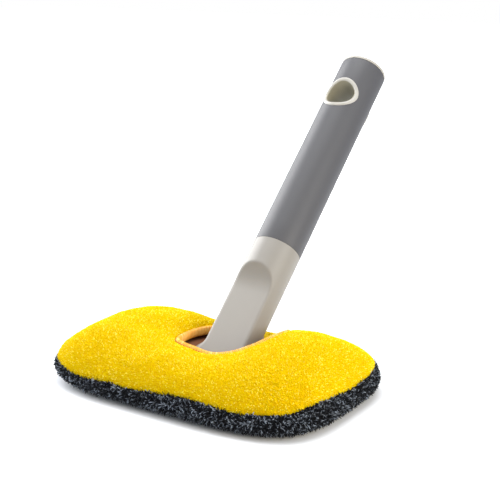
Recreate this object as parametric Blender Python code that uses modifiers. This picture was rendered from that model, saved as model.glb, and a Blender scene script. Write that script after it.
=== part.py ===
# Bath scrubber: a leaning tube handle on an oblong cushioned head in a washable cover.
# Lengths are in metres. The head lies along X, the handle leans back towards +Y, and +Z is up.
# The origin is on the resting face of the scrubbing pad, under the middle of the head.
import math

import bmesh
import bpy
from mathutils import Vector

COLLECTION_NAME = "bath_scrubber"
CUTTER_COLLECTION_NAME = "cutters"

# Clearance between pieces that touch on the real object, and overrun of a cutter past a face
GAP = 0.0003
OVERRUN = 0.003
# Points closer than this are one point
MERGE_DISTANCE = 0.00001
# Facets round the head's loft, and round the handle's turned pieces
HEAD_FACETS = 48
HANDLE_FACETS = 48

# Head outline, a rounded oblong
HEAD_LENGTH = 0.1810
HEAD_WIDTH = 0.1220
OUTLINE_POWER = 4.2

# Dark scrubbing pad: a shallow tray that is flat in the middle and lifts at its two ends
PAD_THICKNESS = 0.0075
PAD_WALL = 0.0055
PAD_EDGE_RADIUS = 0.0040
PAD_FLAT_SHARE = 0.5
PAD_END_LIFT = 0.0050
PAD_RING_SHARES = (0.3, 0.5, 0.68, 0.84)
SEAM_HEIGHT = 0.0142
SEAM_END_LIFT = 0.0012
SEAM_INSET = 0.0024

# Seam allowance of the two cover panels, turned in and overlocked
ALLOWANCE_WIDTH = 0.0040
ALLOWANCE_THICKNESS = 0.0016

# Yellow top panel of the cover, with the opening that the handle comes out of
COVER_THICKNESS = 0.0016
COVER_SKIRT = 0.0012
CREST_LEFT = 0.0325
CREST_RIGHT = 0.0345
CREST_FRONT = 0.0277
CREST_BACK = 0.0226
CREST_OVER_RIM = 0.0006
CREST_LEFT_SHARE = 0.55
CREST_RIGHT_SHARE = 0.30
CREST_FRONT_SHARE = 0.40
CREST_BACK_SHARE = 0.15
SHOULDER_POWER = 1.8
SHOULDER_STEPS = 6
THROAT_STEPS = 4

# Opening's edge: plan oval, its height, and how far it tilts, dips and climbs
RIM_CENTRE_X = 0.0075
RIM_CENTRE_Y = 0.0089
RIM_HALF_LENGTH = 0.0349
RIM_HALF_WIDTH = 0.0332
RIM_HEIGHT = 0.0237
RIM_SIDE_TILT = 0.0055
RIM_END_RISE = 0.0062
RIM_BACK_DROP = 0.0019

# Binding folded round the elastic of the opening
BINDING_RADIUS = 0.0021
BINDING_WALL = 0.0009
BINDING_SLIT_DEGREES = 60.0
BINDING_FACETS = 8
ELASTIC_FACETS = 8

# Foam and plate inside the cover
FOAM_BASE_THICKNESS = 0.0069
FOAM_EDGE_ROUND = 0.0010
FOAM_SLACK = 0.0010
PLATE_THICKNESS = 0.0030
PLATE_CLEARANCE = 0.0015

# Handle: where its axis crosses the plate's upper face, and its slope above the floor
HANDLE_SEAT_X = 0.0030
HANDLE_SEAT_Y = 0.0085
HANDLE_SLOPE_DEGREES = 43.4
GRIP_RADIUS = 0.0151
NECK_LENGTH = 0.0720
SLEEVE_LENGTH = 0.1437
SLEEVE_WALL = 0.0020
CORE_WALL = 0.0024
NECK_WALL = 0.0030
NECK_BORE_START = 0.0220
THUMB_FLAT_OFFSET = 0.0071
SCOOP_LENGTH = 0.0540
SCOOP_ARC_RADIUS = 0.0202
SCOOP_ARC_STEPS = 10

# Flare of the handle's foot where it spreads on to the plate
FLARE_RISE = 0.0090
FLARE_REACH = 0.0070
FLARE_CHAMFER_SHARE = 0.5
FLARE_BITE = 0.0002
FLARE_STEPS = 5

# Hanging hole's bush and the end cap
EYELET_RADIUS = 0.0117
EYELET_BORE_RADIUS = 0.0092
EYELET_PROUD = 0.0006
EYELET_FROM_END = 0.0289
CAP_LIP_THICKNESS = 0.0014
CAP_LIP_STEP = 0.0003
CAP_LIP_ROUND = 0.0005
CAP_PLUG_LENGTH = 0.0080
CAP_PLUG_WALL = 0.0018

# Screws that hold the handle's foot to the plate, driven from below
SCREW_SHANK_RADIUS = 0.0015
SCREW_HEAD_RADIUS = 0.0029
SCREW_HEAD_HEIGHT = 0.0014
SCREW_GRIP = 0.0060
SCREW_SPACING_X = 0.0160
SCREW_SPACING_Y = 0.0140
SCREW_PATTERN_BACK = 0.0080
SCREW_FACETS = 16

# Heights and radii that follow from the sizes above
PLATE_BOTTOM = PAD_THICKNESS + FOAM_BASE_THICKNESS + 2 * GAP
PLATE_TOP = PLATE_BOTTOM + PLATE_THICKNESS
PLATE_INSET = SEAM_INSET + COVER_THICKNESS + GAP + ALLOWANCE_WIDTH + PLATE_CLEARANCE
HANDLE_SLOPE = math.radians(HANDLE_SLOPE_DEGREES)
SLEEVE_START = NECK_LENGTH + GAP
SLEEVE_END = NECK_LENGTH + SLEEVE_LENGTH
EYELET_AT = SLEEVE_END - EYELET_FROM_END
CORE_SEAT_RADIUS = GRIP_RADIUS - SLEEVE_WALL
CORE_BORE_RADIUS = CORE_SEAT_RADIUS - CORE_WALL
EYELET_CLEARANCE_RADIUS = EYELET_RADIUS + GAP


def clear_scene():
    for old in list(bpy.data.objects):
        bpy.data.objects.remove(old, do_unlink=True)


def new_collection(name):
    collection = bpy.data.collections.get(name) or bpy.data.collections.new(name)
    if collection.name not in bpy.context.scene.collection.children:
        bpy.context.scene.collection.children.link(collection)
    return collection


def new_material(name, color, roughness, metallic=0.0):
    material = bpy.data.materials.new(name)
    material.use_nodes = True
    shader = material.node_tree.nodes["Principled BSDF"]
    shader.inputs["Base Color"].default_value = (*color, 1.0)
    shader.inputs["Roughness"].default_value = roughness
    shader.inputs["Metallic"].default_value = metallic
    return material


def mesh_object(name, mesh, collection, material=None, parent=None):
    piece = bpy.data.objects.new(name, mesh)
    collection.objects.link(piece)
    if material:
        mesh.materials.append(material)
    piece.parent = parent
    return piece


def smooth_shade(piece, sharp_degrees=35.0):
    piece.data.shade_smooth()
    piece.data.set_sharp_from_angle(angle=math.radians(sharp_degrees))


def cutter_object(name, mesh, parent=None):
    cutter = mesh_object(name, mesh, new_collection(CUTTER_COLLECTION_NAME), parent=parent)
    cutter.hide_render = True
    cutter.display_type = "WIRE"
    return cutter


def boolean(piece, operation, other):
    modifier = piece.modifiers.new(operation.title() + " " + other.name, "BOOLEAN")
    modifier.operation = operation
    modifier.solver = "EXACT"
    modifier.object = other
    return modifier


# Lofts. A ring is a list of points round the head or the handle, and rings are joined in order.
def ring_rows(bm, rings):
    rows = [[bm.verts.new(point) for point in ring] for ring in rings]
    for low, high in zip(rows, rows[1:]):
        count = len(low)
        for i in range(count):
            j = (i + 1) % count
            bm.faces.new((low[i], low[j], high[j], high[i]))
    return rows


def fan(bm, row, centre):
    hub = bm.verts.new(centre)
    count = len(row)
    for i in range(count):
        bm.faces.new((hub, row[i], row[(i + 1) % count]))


def closed_loft(name, rings, first_centre, last_centre):
    bm = bmesh.new()
    rows = ring_rows(bm, rings)
    fan(bm, rows[0], first_centre)
    fan(bm, rows[-1], last_centre)
    bmesh.ops.recalc_face_normals(bm, faces=bm.faces[:])
    mesh = bpy.data.meshes.new(name)
    bm.to_mesh(mesh)
    bm.free()
    return mesh


def round_loft(name, rings):
    # The last ring joins the first, so the body is a closed hoop.
    bm = bmesh.new()
    rows = ring_rows(bm, rings)
    count = len(rows[0])
    for i in range(count):
        j = (i + 1) % count
        bm.faces.new((rows[-1][i], rows[-1][j], rows[0][j], rows[0][i]))
    bmesh.ops.recalc_face_normals(bm, faces=bm.faces[:])
    mesh = bpy.data.meshes.new(name)
    bm.to_mesh(mesh)
    bm.free()
    return mesh


def open_loft(name, rings):
    bm = bmesh.new()
    ring_rows(bm, rings)
    bm.normal_update()
    if sum(face.normal.z for face in bm.faces) < 0:
        bmesh.ops.reverse_faces(bm, faces=bm.faces[:])
    mesh = bpy.data.meshes.new(name)
    bm.to_mesh(mesh)
    bm.free()
    return mesh


def turned_mesh(name, profile):
    # Half section of a turned piece, as (radius, height) pairs. It runs down its outer side and
    # starts and ends on the axis, or comes back to its first point.
    bm = bmesh.new()
    points = [bm.verts.new((radius, 0, height)) for radius, height in profile]
    for start, end in zip(points, points[1:]):
        bm.edges.new((start, end))
    mesh = bpy.data.meshes.new(name)
    bm.to_mesh(mesh)
    bm.free()
    return mesh


def add_screw(piece, facets):
    screw = piece.modifiers.new("Turned", "SCREW")
    screw.axis = "Z"
    screw.steps = facets
    screw.render_steps = facets
    screw.use_merge_vertices = True
    screw.merge_threshold = MERGE_DISTANCE
    return screw


def cylinder_mesh(name, radius, low, high, facets, axis="Z", centre=(0, 0)):
    # A cylinder along Z or Y that runs from low to high, centred on the other two axes.
    bm = bmesh.new()
    bmesh.ops.create_cone(bm, cap_ends=True, segments=facets, radius1=radius, radius2=radius,
                          depth=high - low)
    for vert in bm.verts:
        across, depth, along = vert.co.x, vert.co.y, vert.co.z + (low + high) / 2
        if axis == "Z":
            vert.co = Vector((centre[0] + across, centre[1] + depth, along))
        else:
            vert.co = Vector((centre[0] + across, along, centre[1] - depth))
    mesh = bpy.data.meshes.new(name)
    bm.to_mesh(mesh)
    bm.free()
    return mesh


def outline_mesh(name, points, low, high):
    # A flat outline in XY, given a thickness from low to high.
    curve = bpy.data.curves.new(name, "CURVE")
    curve.dimensions = "2D"
    curve.fill_mode = "BOTH"
    curve.extrude = (high - low) / 2
    spline = curve.splines.new("POLY")
    spline.points.add(len(points) - 1)
    for target, (x, y) in zip(spline.points, points):
        target.co = (x, y, 0, 1)
    spline.use_cyclic_u = True
    holder = bpy.data.objects.new(name + "_outline", curve)
    bpy.context.scene.collection.objects.link(holder)
    bpy.context.view_layer.update()
    evaluated = holder.evaluated_get(bpy.context.evaluated_depsgraph_get())
    mesh = bpy.data.meshes.new_from_object(evaluated)
    bpy.data.objects.remove(holder)
    bm = bmesh.new()
    bm.from_mesh(mesh)
    bmesh.ops.remove_doubles(bm, verts=bm.verts[:], dist=MERGE_DISTANCE)
    bmesh.ops.translate(bm, verts=bm.verts[:], vec=(0, 0, (low + high) / 2))
    bmesh.ops.recalc_face_normals(bm, faces=bm.faces[:])
    bm.to_mesh(mesh)
    bm.free()
    mesh.name = name
    return mesh


# The head's outline, seam and opening as functions of the angle round the head
def head_angles():
    return [2 * math.pi * i / HEAD_FACETS for i in range(HEAD_FACETS)]


def outline_shares(angle):
    # Place on the outline as shares of the half length and the half width.
    across, back = math.cos(angle), math.sin(angle)
    reach = (abs(across) ** OUTLINE_POWER + abs(back) ** OUTLINE_POWER) ** (-1 / OUTLINE_POWER)
    return reach * across, reach * back


def outline_point(angle, inset=0.0):
    share_x, share_y = outline_shares(angle)
    return share_x * (HEAD_LENGTH / 2 - inset), share_y * (HEAD_WIDTH / 2 - inset)


def end_lift(x):
    past_flat = abs(x) / (HEAD_LENGTH / 2) - PAD_FLAT_SHARE
    return PAD_END_LIFT * (max(past_flat, 0) / (1 - PAD_FLAT_SHARE)) ** 2


def seam_height(angle):
    return SEAM_HEIGHT + SEAM_END_LIFT * abs(outline_shares(angle)[0]) ** 3


def seam_point(angle, inset=0.0):
    x, y = outline_point(angle, SEAM_INSET + inset)
    return Vector((x, y, seam_height(angle)))


def rim_point(angle):
    across, back = math.cos(angle), math.sin(angle)
    x = RIM_CENTRE_X + RIM_HALF_LENGTH * across
    y = RIM_CENTRE_Y + RIM_HALF_WIDTH * back
    z = RIM_HEIGHT + RIM_SIDE_TILT * across + RIM_END_RISE * across ** 2 - RIM_BACK_DROP * back
    return Vector((x, y, z))


def rim_inward(angle):
    # Level direction from the opening's edge towards the middle of the hole.
    normal = Vector((math.cos(angle) / RIM_HALF_LENGTH, math.sin(angle) / RIM_HALF_WIDTH, 0))
    return -normal.normalized()


def crest(angle):
    # Height of the cushion's crest, and its place between the opening and the seam.
    share_x, share_y = outline_shares(angle)
    end_weight = abs(share_x) ** OUTLINE_POWER
    end_height, end_share = (CREST_LEFT, CREST_LEFT_SHARE)
    if share_x > 0:
        end_height, end_share = (CREST_RIGHT, CREST_RIGHT_SHARE)
    side_height, side_share = (CREST_FRONT, CREST_FRONT_SHARE)
    if share_y > 0:
        side_height, side_share = (CREST_BACK, CREST_BACK_SHARE)
    height = end_height * end_weight + side_height * (1 - end_weight)
    share = end_share * end_weight + side_share * (1 - end_weight)
    return max(height, rim_point(angle).z + CREST_OVER_RIM), share


def shoulder_point(angle, turn):
    # Outer side of the cushion: from its crest at turn 0 down to the seam at a quarter turn.
    top, share = crest(angle)
    foot = seam_height(angle) + GAP + COVER_SKIRT
    rim, seam = rim_point(angle), seam_point(angle)
    fall = math.cos(turn) ** (2 / SHOULDER_POWER) if turn < math.pi / 2 else 0.0
    plan = rim + (seam - rim) * (share + (1 - share) * math.sin(turn) ** (2 / SHOULDER_POWER))
    return Vector((plan.x, plan.y, foot + (top - foot) * fall))


def throat_point(angle, turn):
    # Inner side of the cushion: from its crest at turn 0 down to the opening's edge.
    top, share = crest(angle)
    rim, seam = rim_point(angle), seam_point(angle)
    plan = rim + (seam - rim) * share * (1 - math.sin(turn))
    return Vector((plan.x, plan.y, rim.z + (top - rim.z) * math.cos(turn)))


def quarter_turns(steps):
    return [math.pi / 2 * k / steps for k in range(steps + 1)]


# Cover
def scrub_pad(collection):
    rings = []
    for share in PAD_RING_SHARES:
        ring = []
        for angle in head_angles():
            x, y = outline_point(angle, PAD_EDGE_RADIUS)
            ring.append((x * share, y * share, end_lift(x * share)))
        rings.append(ring)
    for turn in quarter_turns(2):
        inset = PAD_EDGE_RADIUS * (1 - math.sin(turn))
        rise = PAD_EDGE_RADIUS * (1 - math.cos(turn))
        ring = []
        for angle in head_angles():
            x, y = outline_point(angle, inset)
            ring.append((x, y, end_lift(x) + rise))
        rings.append(ring)
    rings.append([seam_point(angle) for angle in head_angles()])
    rings.append([seam_point(angle, PAD_WALL) for angle in head_angles()])
    for share in (1.0, *reversed(PAD_RING_SHARES)):
        ring = []
        for angle in head_angles():
            x, y = outline_point(angle, SEAM_INSET + PAD_WALL + FOAM_EDGE_ROUND)
            ring.append((x * share, y * share, PAD_THICKNESS + end_lift(x * share)))
        rings.append(ring)
    mesh = closed_loft("scrub_pad", rings, (0, 0, 0), (0, 0, PAD_THICKNESS))
    material = new_material("dark_pile", (0.045, 0.050, 0.060), 0.95)
    piece = mesh_object("scrub_pad", mesh, collection, material)
    smooth_shade(piece)
    return piece


def seam_allowance(collection):
    outer = COVER_THICKNESS + GAP
    inner = outer + ALLOWANCE_WIDTH
    rings = []
    for inset, rise in ((outer, 0), (outer, ALLOWANCE_THICKNESS), (inner, ALLOWANCE_THICKNESS), (inner, 0)):
        lift = Vector((0, 0, GAP + rise))
        rings.append([seam_point(angle, inset) + lift for angle in head_angles()])
    material = new_material("seam_thread", (0.72, 0.42, 0.08), 0.9)
    return mesh_object("seam_allowance", round_loft("seam_allowance", rings), collection, material)


def cover_rings():
    # The cover's outer face, in rings from the seam over the crest to the opening's edge.
    rings = [[seam_point(angle) + Vector((0, 0, GAP)) for angle in head_angles()]]
    for turn in reversed(quarter_turns(SHOULDER_STEPS)):
        rings.append([shoulder_point(angle, turn) for angle in head_angles()])
    for turn in quarter_turns(THROAT_STEPS)[1:]:
        rings.append([throat_point(angle, turn) for angle in head_angles()])
    return rings


def cover_top(collection):
    material = new_material("yellow_plush", (0.90, 0.66, 0.02), 0.9)
    piece = mesh_object("cover_top", open_loft("cover_top", cover_rings()), collection, material)
    smooth_shade(piece)
    wall = piece.modifiers.new("Fabric", "SOLIDIFY")
    wall.thickness = COVER_THICKNESS
    wall.offset = -1
    wall.use_even_offset = True
    return piece


def binding_frame(angle):
    # Centre of the folded binding, with the directions across it and up.
    inward = rim_inward(angle)
    step = math.pi / HEAD_FACETS
    along = (rim_point(angle + step) - rim_point(angle - step)).normalized()
    outward = (-inward - along * along.dot(-inward)).normalized()
    up = along.cross(outward)
    if up.z < 0:
        up = -up
    centre = rim_point(angle) + inward * (BINDING_RADIUS + GAP)
    return centre, outward, up


def hoop_ring(reach, turn):
    ring = []
    for angle in head_angles():
        centre, outward, up = binding_frame(angle)
        ring.append(centre + reach * (outward * math.cos(turn) + up * math.sin(turn)))
    return ring


def opening_binding(collection):
    slit = math.radians(BINDING_SLIT_DEGREES)
    start = slit / 2
    span = 2 * math.pi - slit
    turns = [start + span * k / BINDING_FACETS for k in range(BINDING_FACETS + 1)]
    rings = [hoop_ring(BINDING_RADIUS, turn) for turn in turns]
    rings += [hoop_ring(BINDING_RADIUS - BINDING_WALL, turn) for turn in reversed(turns)]
    material = new_material("orange_binding", (0.88, 0.47, 0.13), 0.85)
    piece = mesh_object("opening_binding", round_loft("opening_binding", rings), collection, material)
    smooth_shade(piece, 50.0)
    return piece


def opening_elastic(collection):
    reach = BINDING_RADIUS - BINDING_WALL - GAP
    rings = [hoop_ring(reach, 2 * math.pi * k / ELASTIC_FACETS) for k in range(ELASTIC_FACETS)]
    material = new_material("elastic_cord", (0.75, 0.72, 0.66), 0.6)
    piece = mesh_object("opening_elastic", round_loft("opening_elastic", rings), collection, material)
    smooth_shade(piece, 60.0)
    return piece


# Head inside the cover
def foam_base(collection):
    rings = []
    low = PAD_THICKNESS + GAP
    high = PLATE_BOTTOM - GAP
    for share in PAD_RING_SHARES:
        rings.append([(x * share, y * share, low + end_lift(x * share))
                      for x, y in (outline_point(angle, PLATE_INSET) for angle in head_angles())])
    rings.append([(x, y, low + end_lift(x))
                  for x, y in (outline_point(angle, PLATE_INSET) for angle in head_angles())])
    rings.append([(*outline_point(angle, PLATE_INSET), high - FOAM_EDGE_ROUND) for angle in head_angles()])
    rings.append([(*outline_point(angle, PLATE_INSET + FOAM_EDGE_ROUND), high) for angle in head_angles()])
    mesh = closed_loft("foam_base", rings, (0, 0, low), (0, 0, high))
    material = new_material("foam", (0.80, 0.78, 0.72), 0.95)
    piece = mesh_object("foam_base", mesh, collection, material)
    smooth_shade(piece)
    return piece


def sunk_rings(rings, depth):
    # The same rings moved in, square to the surface that they make.
    mesh = open_loft("sunk", rings)
    normals = [vert.vector.copy() for vert in mesh.vertex_normals]
    bpy.data.meshes.remove(mesh)
    count = len(rings[0])
    return [[ring[i] - normals[row * count + i] * depth for i in range(count)]
            for row, ring in enumerate(rings)]


def cut_below(section, height):
    # The part of a section, read from its low end, that lies above a height.
    for k, (low, high) in enumerate(zip(section, section[1:])):
        if high.z > height:
            share = (height - low.z) / (high.z - low.z)
            return [low.lerp(high, max(share, 0))] + section[k + 1:]
    return section


def even_points(section, count):
    # Points spread evenly along a section.
    lengths = [0.0]
    for start, end in zip(section, section[1:]):
        lengths.append(lengths[-1] + (end - start).length)
    points = []
    for k in range(count):
        wanted = lengths[-1] * k / (count - 1)
        i = 0
        while i < len(section) - 2 and lengths[i + 1] < wanted:
            i += 1
        points.append(section[i].lerp(section[i + 1], (wanted - lengths[i]) / (lengths[i + 1] - lengths[i])))
    return points


def foam_crown(collection):
    foot = PLATE_TOP + GAP
    sunk = sunk_rings(cover_rings(), COVER_THICKNESS + FOAM_SLACK)
    columns = []
    for i in range(HEAD_FACETS):
        section = cut_below([ring[i] for ring in sunk], foot)
        column = even_points(section, SHOULDER_STEPS + THROAT_STEPS)
        column.append(Vector((column[-1].x, column[-1].y, foot)))
        columns.append(column)
    rings = [list(ring) for ring in zip(*columns)]
    material = new_material("foam_crown", (0.80, 0.78, 0.72), 0.95)
    piece = mesh_object("foam_crown", round_loft("foam_crown", rings), collection, material)
    smooth_shade(piece)
    return piece


def screw_places():
    middle = HANDLE_SEAT_Y + SCREW_PATTERN_BACK
    return [(HANDLE_SEAT_X + side * SCREW_SPACING_X / 2, middle + end * SCREW_SPACING_Y / 2)
            for side in (-1, 1) for end in (-1, 1)]


def screw_set(name, radius, low, high):
    # One mesh of equal upright cylinders, one at each screw.
    bm = bmesh.new()
    for x, y in screw_places():
        single = cylinder_mesh("single", radius, low, high, SCREW_FACETS, centre=(x, y))
        bm.from_mesh(single)
        bpy.data.meshes.remove(single)
    mesh = bpy.data.meshes.new(name)
    bm.to_mesh(mesh)
    bm.free()
    return mesh


def base_plate(collection):
    points = [outline_point(angle, PLATE_INSET) for angle in head_angles()]
    mesh = outline_mesh("base_plate", points, PLATE_BOTTOM, PLATE_TOP)
    piece = mesh_object("base_plate", mesh, collection, new_material("plate_plastic", (0.60, 0.58, 0.54), 0.5))
    seat_top = PLATE_BOTTOM + SCREW_HEAD_HEIGHT + 2 * GAP
    sinks = screw_set("screw_sinks", SCREW_HEAD_RADIUS + GAP, PLATE_BOTTOM - OVERRUN, seat_top)
    holes = screw_set("screw_holes", SCREW_SHANK_RADIUS + GAP, PLATE_BOTTOM - OVERRUN, PLATE_TOP + OVERRUN)
    boolean(piece, "DIFFERENCE", cutter_object("screw_sinks", sinks))
    boolean(piece, "DIFFERENCE", cutter_object("screw_holes", holes))
    return piece


def plate_screws(collection):
    low = PLATE_BOTTOM + GAP
    head_top = low + SCREW_HEAD_HEIGHT
    tip = PLATE_TOP + SCREW_GRIP
    profile = [(0, tip), (SCREW_SHANK_RADIUS, tip), (SCREW_SHANK_RADIUS, head_top),
               (SCREW_HEAD_RADIUS, head_top), (SCREW_HEAD_RADIUS, low), (0, low)]
    mesh = turned_mesh("plate_screw", profile)
    steel = new_material("screw_steel", (0.62, 0.62, 0.63), 0.35, 1.0)
    mesh.materials.append(steel)
    for number, (x, y) in enumerate(screw_places(), 1):
        piece = mesh_object(f"plate_screw_{number}", mesh, collection)
        piece.location = (x, y, 0)
        add_screw(piece, SCREW_FACETS)


# Handle. Its pieces share a local frame: Z runs up the handle from the plate, and the thumb flat
# faces local -Y.
def handle_axis(collection):
    axis = bpy.data.objects.new("handle_axis", None)
    axis.location = (HANDLE_SEAT_X, HANDLE_SEAT_Y, PLATE_TOP)
    axis.rotation_euler = (HANDLE_SLOPE - math.pi / 2, 0, 0)
    collection.objects.link(axis)
    return axis


def plate_to_handle(x, y, z):
    # A place measured from the handle's seat on the plate, in the handle's own frame.
    along = y * math.cos(HANDLE_SLOPE) + z * math.sin(HANDLE_SLOPE)
    off_axis = y * math.sin(HANDLE_SLOPE) - z * math.cos(HANDLE_SLOPE)
    return Vector((x, off_axis, along))


def foot_section(turn, bite=0.0):
    # The neck's section: round, with the thumb flat on the side of local -Y.
    facing = math.cos(turn)
    reach = GRIP_RADIUS
    if facing > 0:
        reach = min(GRIP_RADIUS, THUMB_FLAT_OFFSET / facing)
    reach -= bite
    return reach * math.sin(turn), -reach * facing


def foot_flare_mesh():
    # A fillet round the neck's foot, from the neck's side out on to the plate.
    turns = [2 * math.pi * i / HANDLE_FACETS for i in range(HANDLE_FACETS)]
    slope_sine = math.sin(HANDLE_SLOPE)
    front = -THUMB_FLAT_OFFSET / slope_sine
    middle = Vector((0, (front + GRIP_RADIUS / slope_sine) / 2))
    rings = [[] for _ in range(FLARE_STEPS + 3)]
    for turn in turns:
        x, y = foot_section(turn, FLARE_BITE)
        foot_along = y / math.tan(HANDLE_SLOPE)
        footprint = Vector((x, y / slope_sine))
        outward = (footprint - middle).normalized()
        high = Vector((x, y, foot_along + FLARE_RISE))
        spread = footprint + outward * FLARE_REACH
        low = plate_to_handle(spread.x, spread.y, 0)
        corner = Vector((x, y, foot_along)).lerp((high + low) / 2, FLARE_CHAMFER_SHARE)
        rings[0].append(Vector((x / 2, y / 2, foot_along + FLARE_RISE)))
        for k in range(FLARE_STEPS + 1):
            t = k / FLARE_STEPS
            rings[k + 1].append(high * (1 - t) ** 2 + corner * 2 * t * (1 - t) + low * t ** 2)
        rings[-1].append(plate_to_handle(spread.x, spread.y, -OVERRUN))
    first = sum(rings[0], Vector()) / HANDLE_FACETS
    last = sum(rings[-1], Vector()) / HANDLE_FACETS
    return closed_loft("foot_flare", rings, first, last)


def scoop_points():
    # Side view of what the thumb scoop takes away, as (depth, height) on the local Y and Z axes.
    fall = GRIP_RADIUS - THUMB_FLAT_OFFSET
    half_turn = math.acos(1 - fall / SCOOP_ARC_RADIUS)
    arc_start = SCOOP_LENGTH - SCOOP_ARC_RADIUS * math.sin(half_turn)
    end_turn = math.acos(1 - (fall + OVERRUN) / SCOOP_ARC_RADIUS)
    points = [(-GRIP_RADIUS - OVERRUN, -NECK_LENGTH), (-THUMB_FLAT_OFFSET, -NECK_LENGTH)]
    for k in range(SCOOP_ARC_STEPS + 1):
        turn = end_turn * k / SCOOP_ARC_STEPS
        depth = THUMB_FLAT_OFFSET + SCOOP_ARC_RADIUS * (1 - math.cos(turn))
        points.append((-depth, arc_start + SCOOP_ARC_RADIUS * math.sin(turn)))
    return points


def scoop_cutter(axis):
    half = GRIP_RADIUS + OVERRUN
    mesh = outline_mesh("thumb_scoop", scoop_points(), -half, half)
    for vert in mesh.vertices:
        depth, height, across = vert.co
        vert.co = (across, depth, height)
    return cutter_object("thumb_scoop", mesh, axis)


def eyelet_cutter(name, radius, axis):
    reach = GRIP_RADIUS + OVERRUN
    mesh = cylinder_mesh(name, radius, -reach, reach, HANDLE_FACETS, "Y", (0, EYELET_AT))
    return cutter_object(name, mesh, axis)


def handle_core(collection, axis, eyelet_hole):
    bore_floor = NECK_LENGTH + NECK_WALL
    profile = [(0, bore_floor), (CORE_BORE_RADIUS, bore_floor), (CORE_BORE_RADIUS, SLEEVE_END),
               (CORE_SEAT_RADIUS, SLEEVE_END), (CORE_SEAT_RADIUS, NECK_LENGTH),
               (GRIP_RADIUS, NECK_LENGTH), (GRIP_RADIUS, -NECK_LENGTH / 2), (0, -NECK_LENGTH / 2)]
    plastic = new_material("core_plastic", (0.62, 0.60, 0.56), 0.42)
    piece = mesh_object("handle_core", turned_mesh("handle_core", profile), collection,
                        plastic, axis)
    add_screw(piece, HANDLE_FACETS)
    boolean(piece, "DIFFERENCE", scoop_cutter(axis))
    bore_radius = (GRIP_RADIUS + THUMB_FLAT_OFFSET) / 2 - NECK_WALL
    bore_back = (GRIP_RADIUS - THUMB_FLAT_OFFSET) / 2
    bore = cylinder_mesh("neck_bore", bore_radius, NECK_BORE_START, bore_floor + OVERRUN,
                         HANDLE_FACETS, centre=(0, bore_back))
    boolean(piece, "DIFFERENCE", cutter_object("neck_bore", bore, axis))
    boolean(piece, "UNION", cutter_object("foot_flare", foot_flare_mesh(), axis))
    below = cylinder_mesh("below_plate", HEAD_WIDTH, -HEAD_WIDTH, PLATE_TOP + GAP, HANDLE_FACETS)
    boolean(piece, "DIFFERENCE", cutter_object("below_plate", below))
    boolean(piece, "DIFFERENCE", eyelet_hole)
    pilots = screw_set("screw_pilots", SCREW_SHANK_RADIUS + GAP, PLATE_TOP - OVERRUN,
                       PLATE_TOP + SCREW_GRIP + GAP)
    boolean(piece, "DIFFERENCE", cutter_object("screw_pilots", pilots))
    return piece


def grip_sleeve(collection, axis, eyelet_hole):
    inner = CORE_SEAT_RADIUS + GAP
    profile = [(inner, SLEEVE_START), (inner, SLEEVE_END), (GRIP_RADIUS, SLEEVE_END),
               (GRIP_RADIUS, SLEEVE_START), (inner, SLEEVE_START)]
    rubber = new_material("grip_rubber", (0.17, 0.17, 0.18), 0.55)
    piece = mesh_object("grip_sleeve", turned_mesh("grip_sleeve", profile), collection,
                        rubber, axis)
    add_screw(piece, HANDLE_FACETS)
    boolean(piece, "DIFFERENCE", eyelet_hole)
    return piece


def hanging_eyelet(collection, axis):
    reach = GRIP_RADIUS + OVERRUN
    body = cylinder_mesh("hanging_eyelet", EYELET_RADIUS, -reach, reach, HANDLE_FACETS, "Y",
                         (0, EYELET_AT))
    piece = mesh_object("hanging_eyelet", body, collection,
                        new_material("eyelet_plastic", (0.72, 0.69, 0.63), 0.4), axis)
    shape = cylinder_mesh("eyelet_face", GRIP_RADIUS + EYELET_PROUD, EYELET_AT - 2 * EYELET_RADIUS,
                          EYELET_AT + 2 * EYELET_RADIUS, HANDLE_FACETS)
    boolean(piece, "INTERSECT", cutter_object("eyelet_face", shape, axis))
    boolean(piece, "DIFFERENCE", eyelet_cutter("eyelet_bore", EYELET_BORE_RADIUS, axis))
    return piece


def end_cap(collection, axis):
    low = SLEEVE_END + GAP
    high = low + CAP_LIP_THICKNESS
    plug_radius = CORE_BORE_RADIUS - GAP
    plug_end = low - CAP_PLUG_LENGTH
    lip_radius = GRIP_RADIUS - CAP_LIP_STEP
    profile = [(0, high), (lip_radius - CAP_LIP_ROUND, high), (lip_radius, high - CAP_LIP_ROUND),
               (lip_radius, low), (plug_radius, low), (plug_radius, plug_end),
               (plug_radius - CAP_PLUG_WALL, plug_end), (plug_radius - CAP_PLUG_WALL, low), (0, low)]
    piece = mesh_object("end_cap", turned_mesh("end_cap", profile), collection,
                        new_material("cap_plastic", (0.66, 0.63, 0.58), 0.42), axis)
    add_screw(piece, HANDLE_FACETS)
    return piece


def main():
    clear_scene()
    collection = new_collection(COLLECTION_NAME)
    new_collection(CUTTER_COLLECTION_NAME)
    scrub_pad(collection)
    seam_allowance(collection)
    cover_top(collection)
    opening_binding(collection)
    opening_elastic(collection)
    foam_base(collection)
    foam_crown(collection)
    base_plate(collection)
    plate_screws(collection)
    axis = handle_axis(collection)
    eyelet_hole = eyelet_cutter("eyelet_hole", EYELET_CLEARANCE_RADIUS, axis)
    handle_core(collection, axis, eyelet_hole)
    grip_sleeve(collection, axis, eyelet_hole)
    hanging_eyelet(collection, axis)
    end_cap(collection, axis)


main()
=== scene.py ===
"""Looks of the bath scrubber: plush cover, curly pile, bound opening and moulded handle."""

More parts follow.
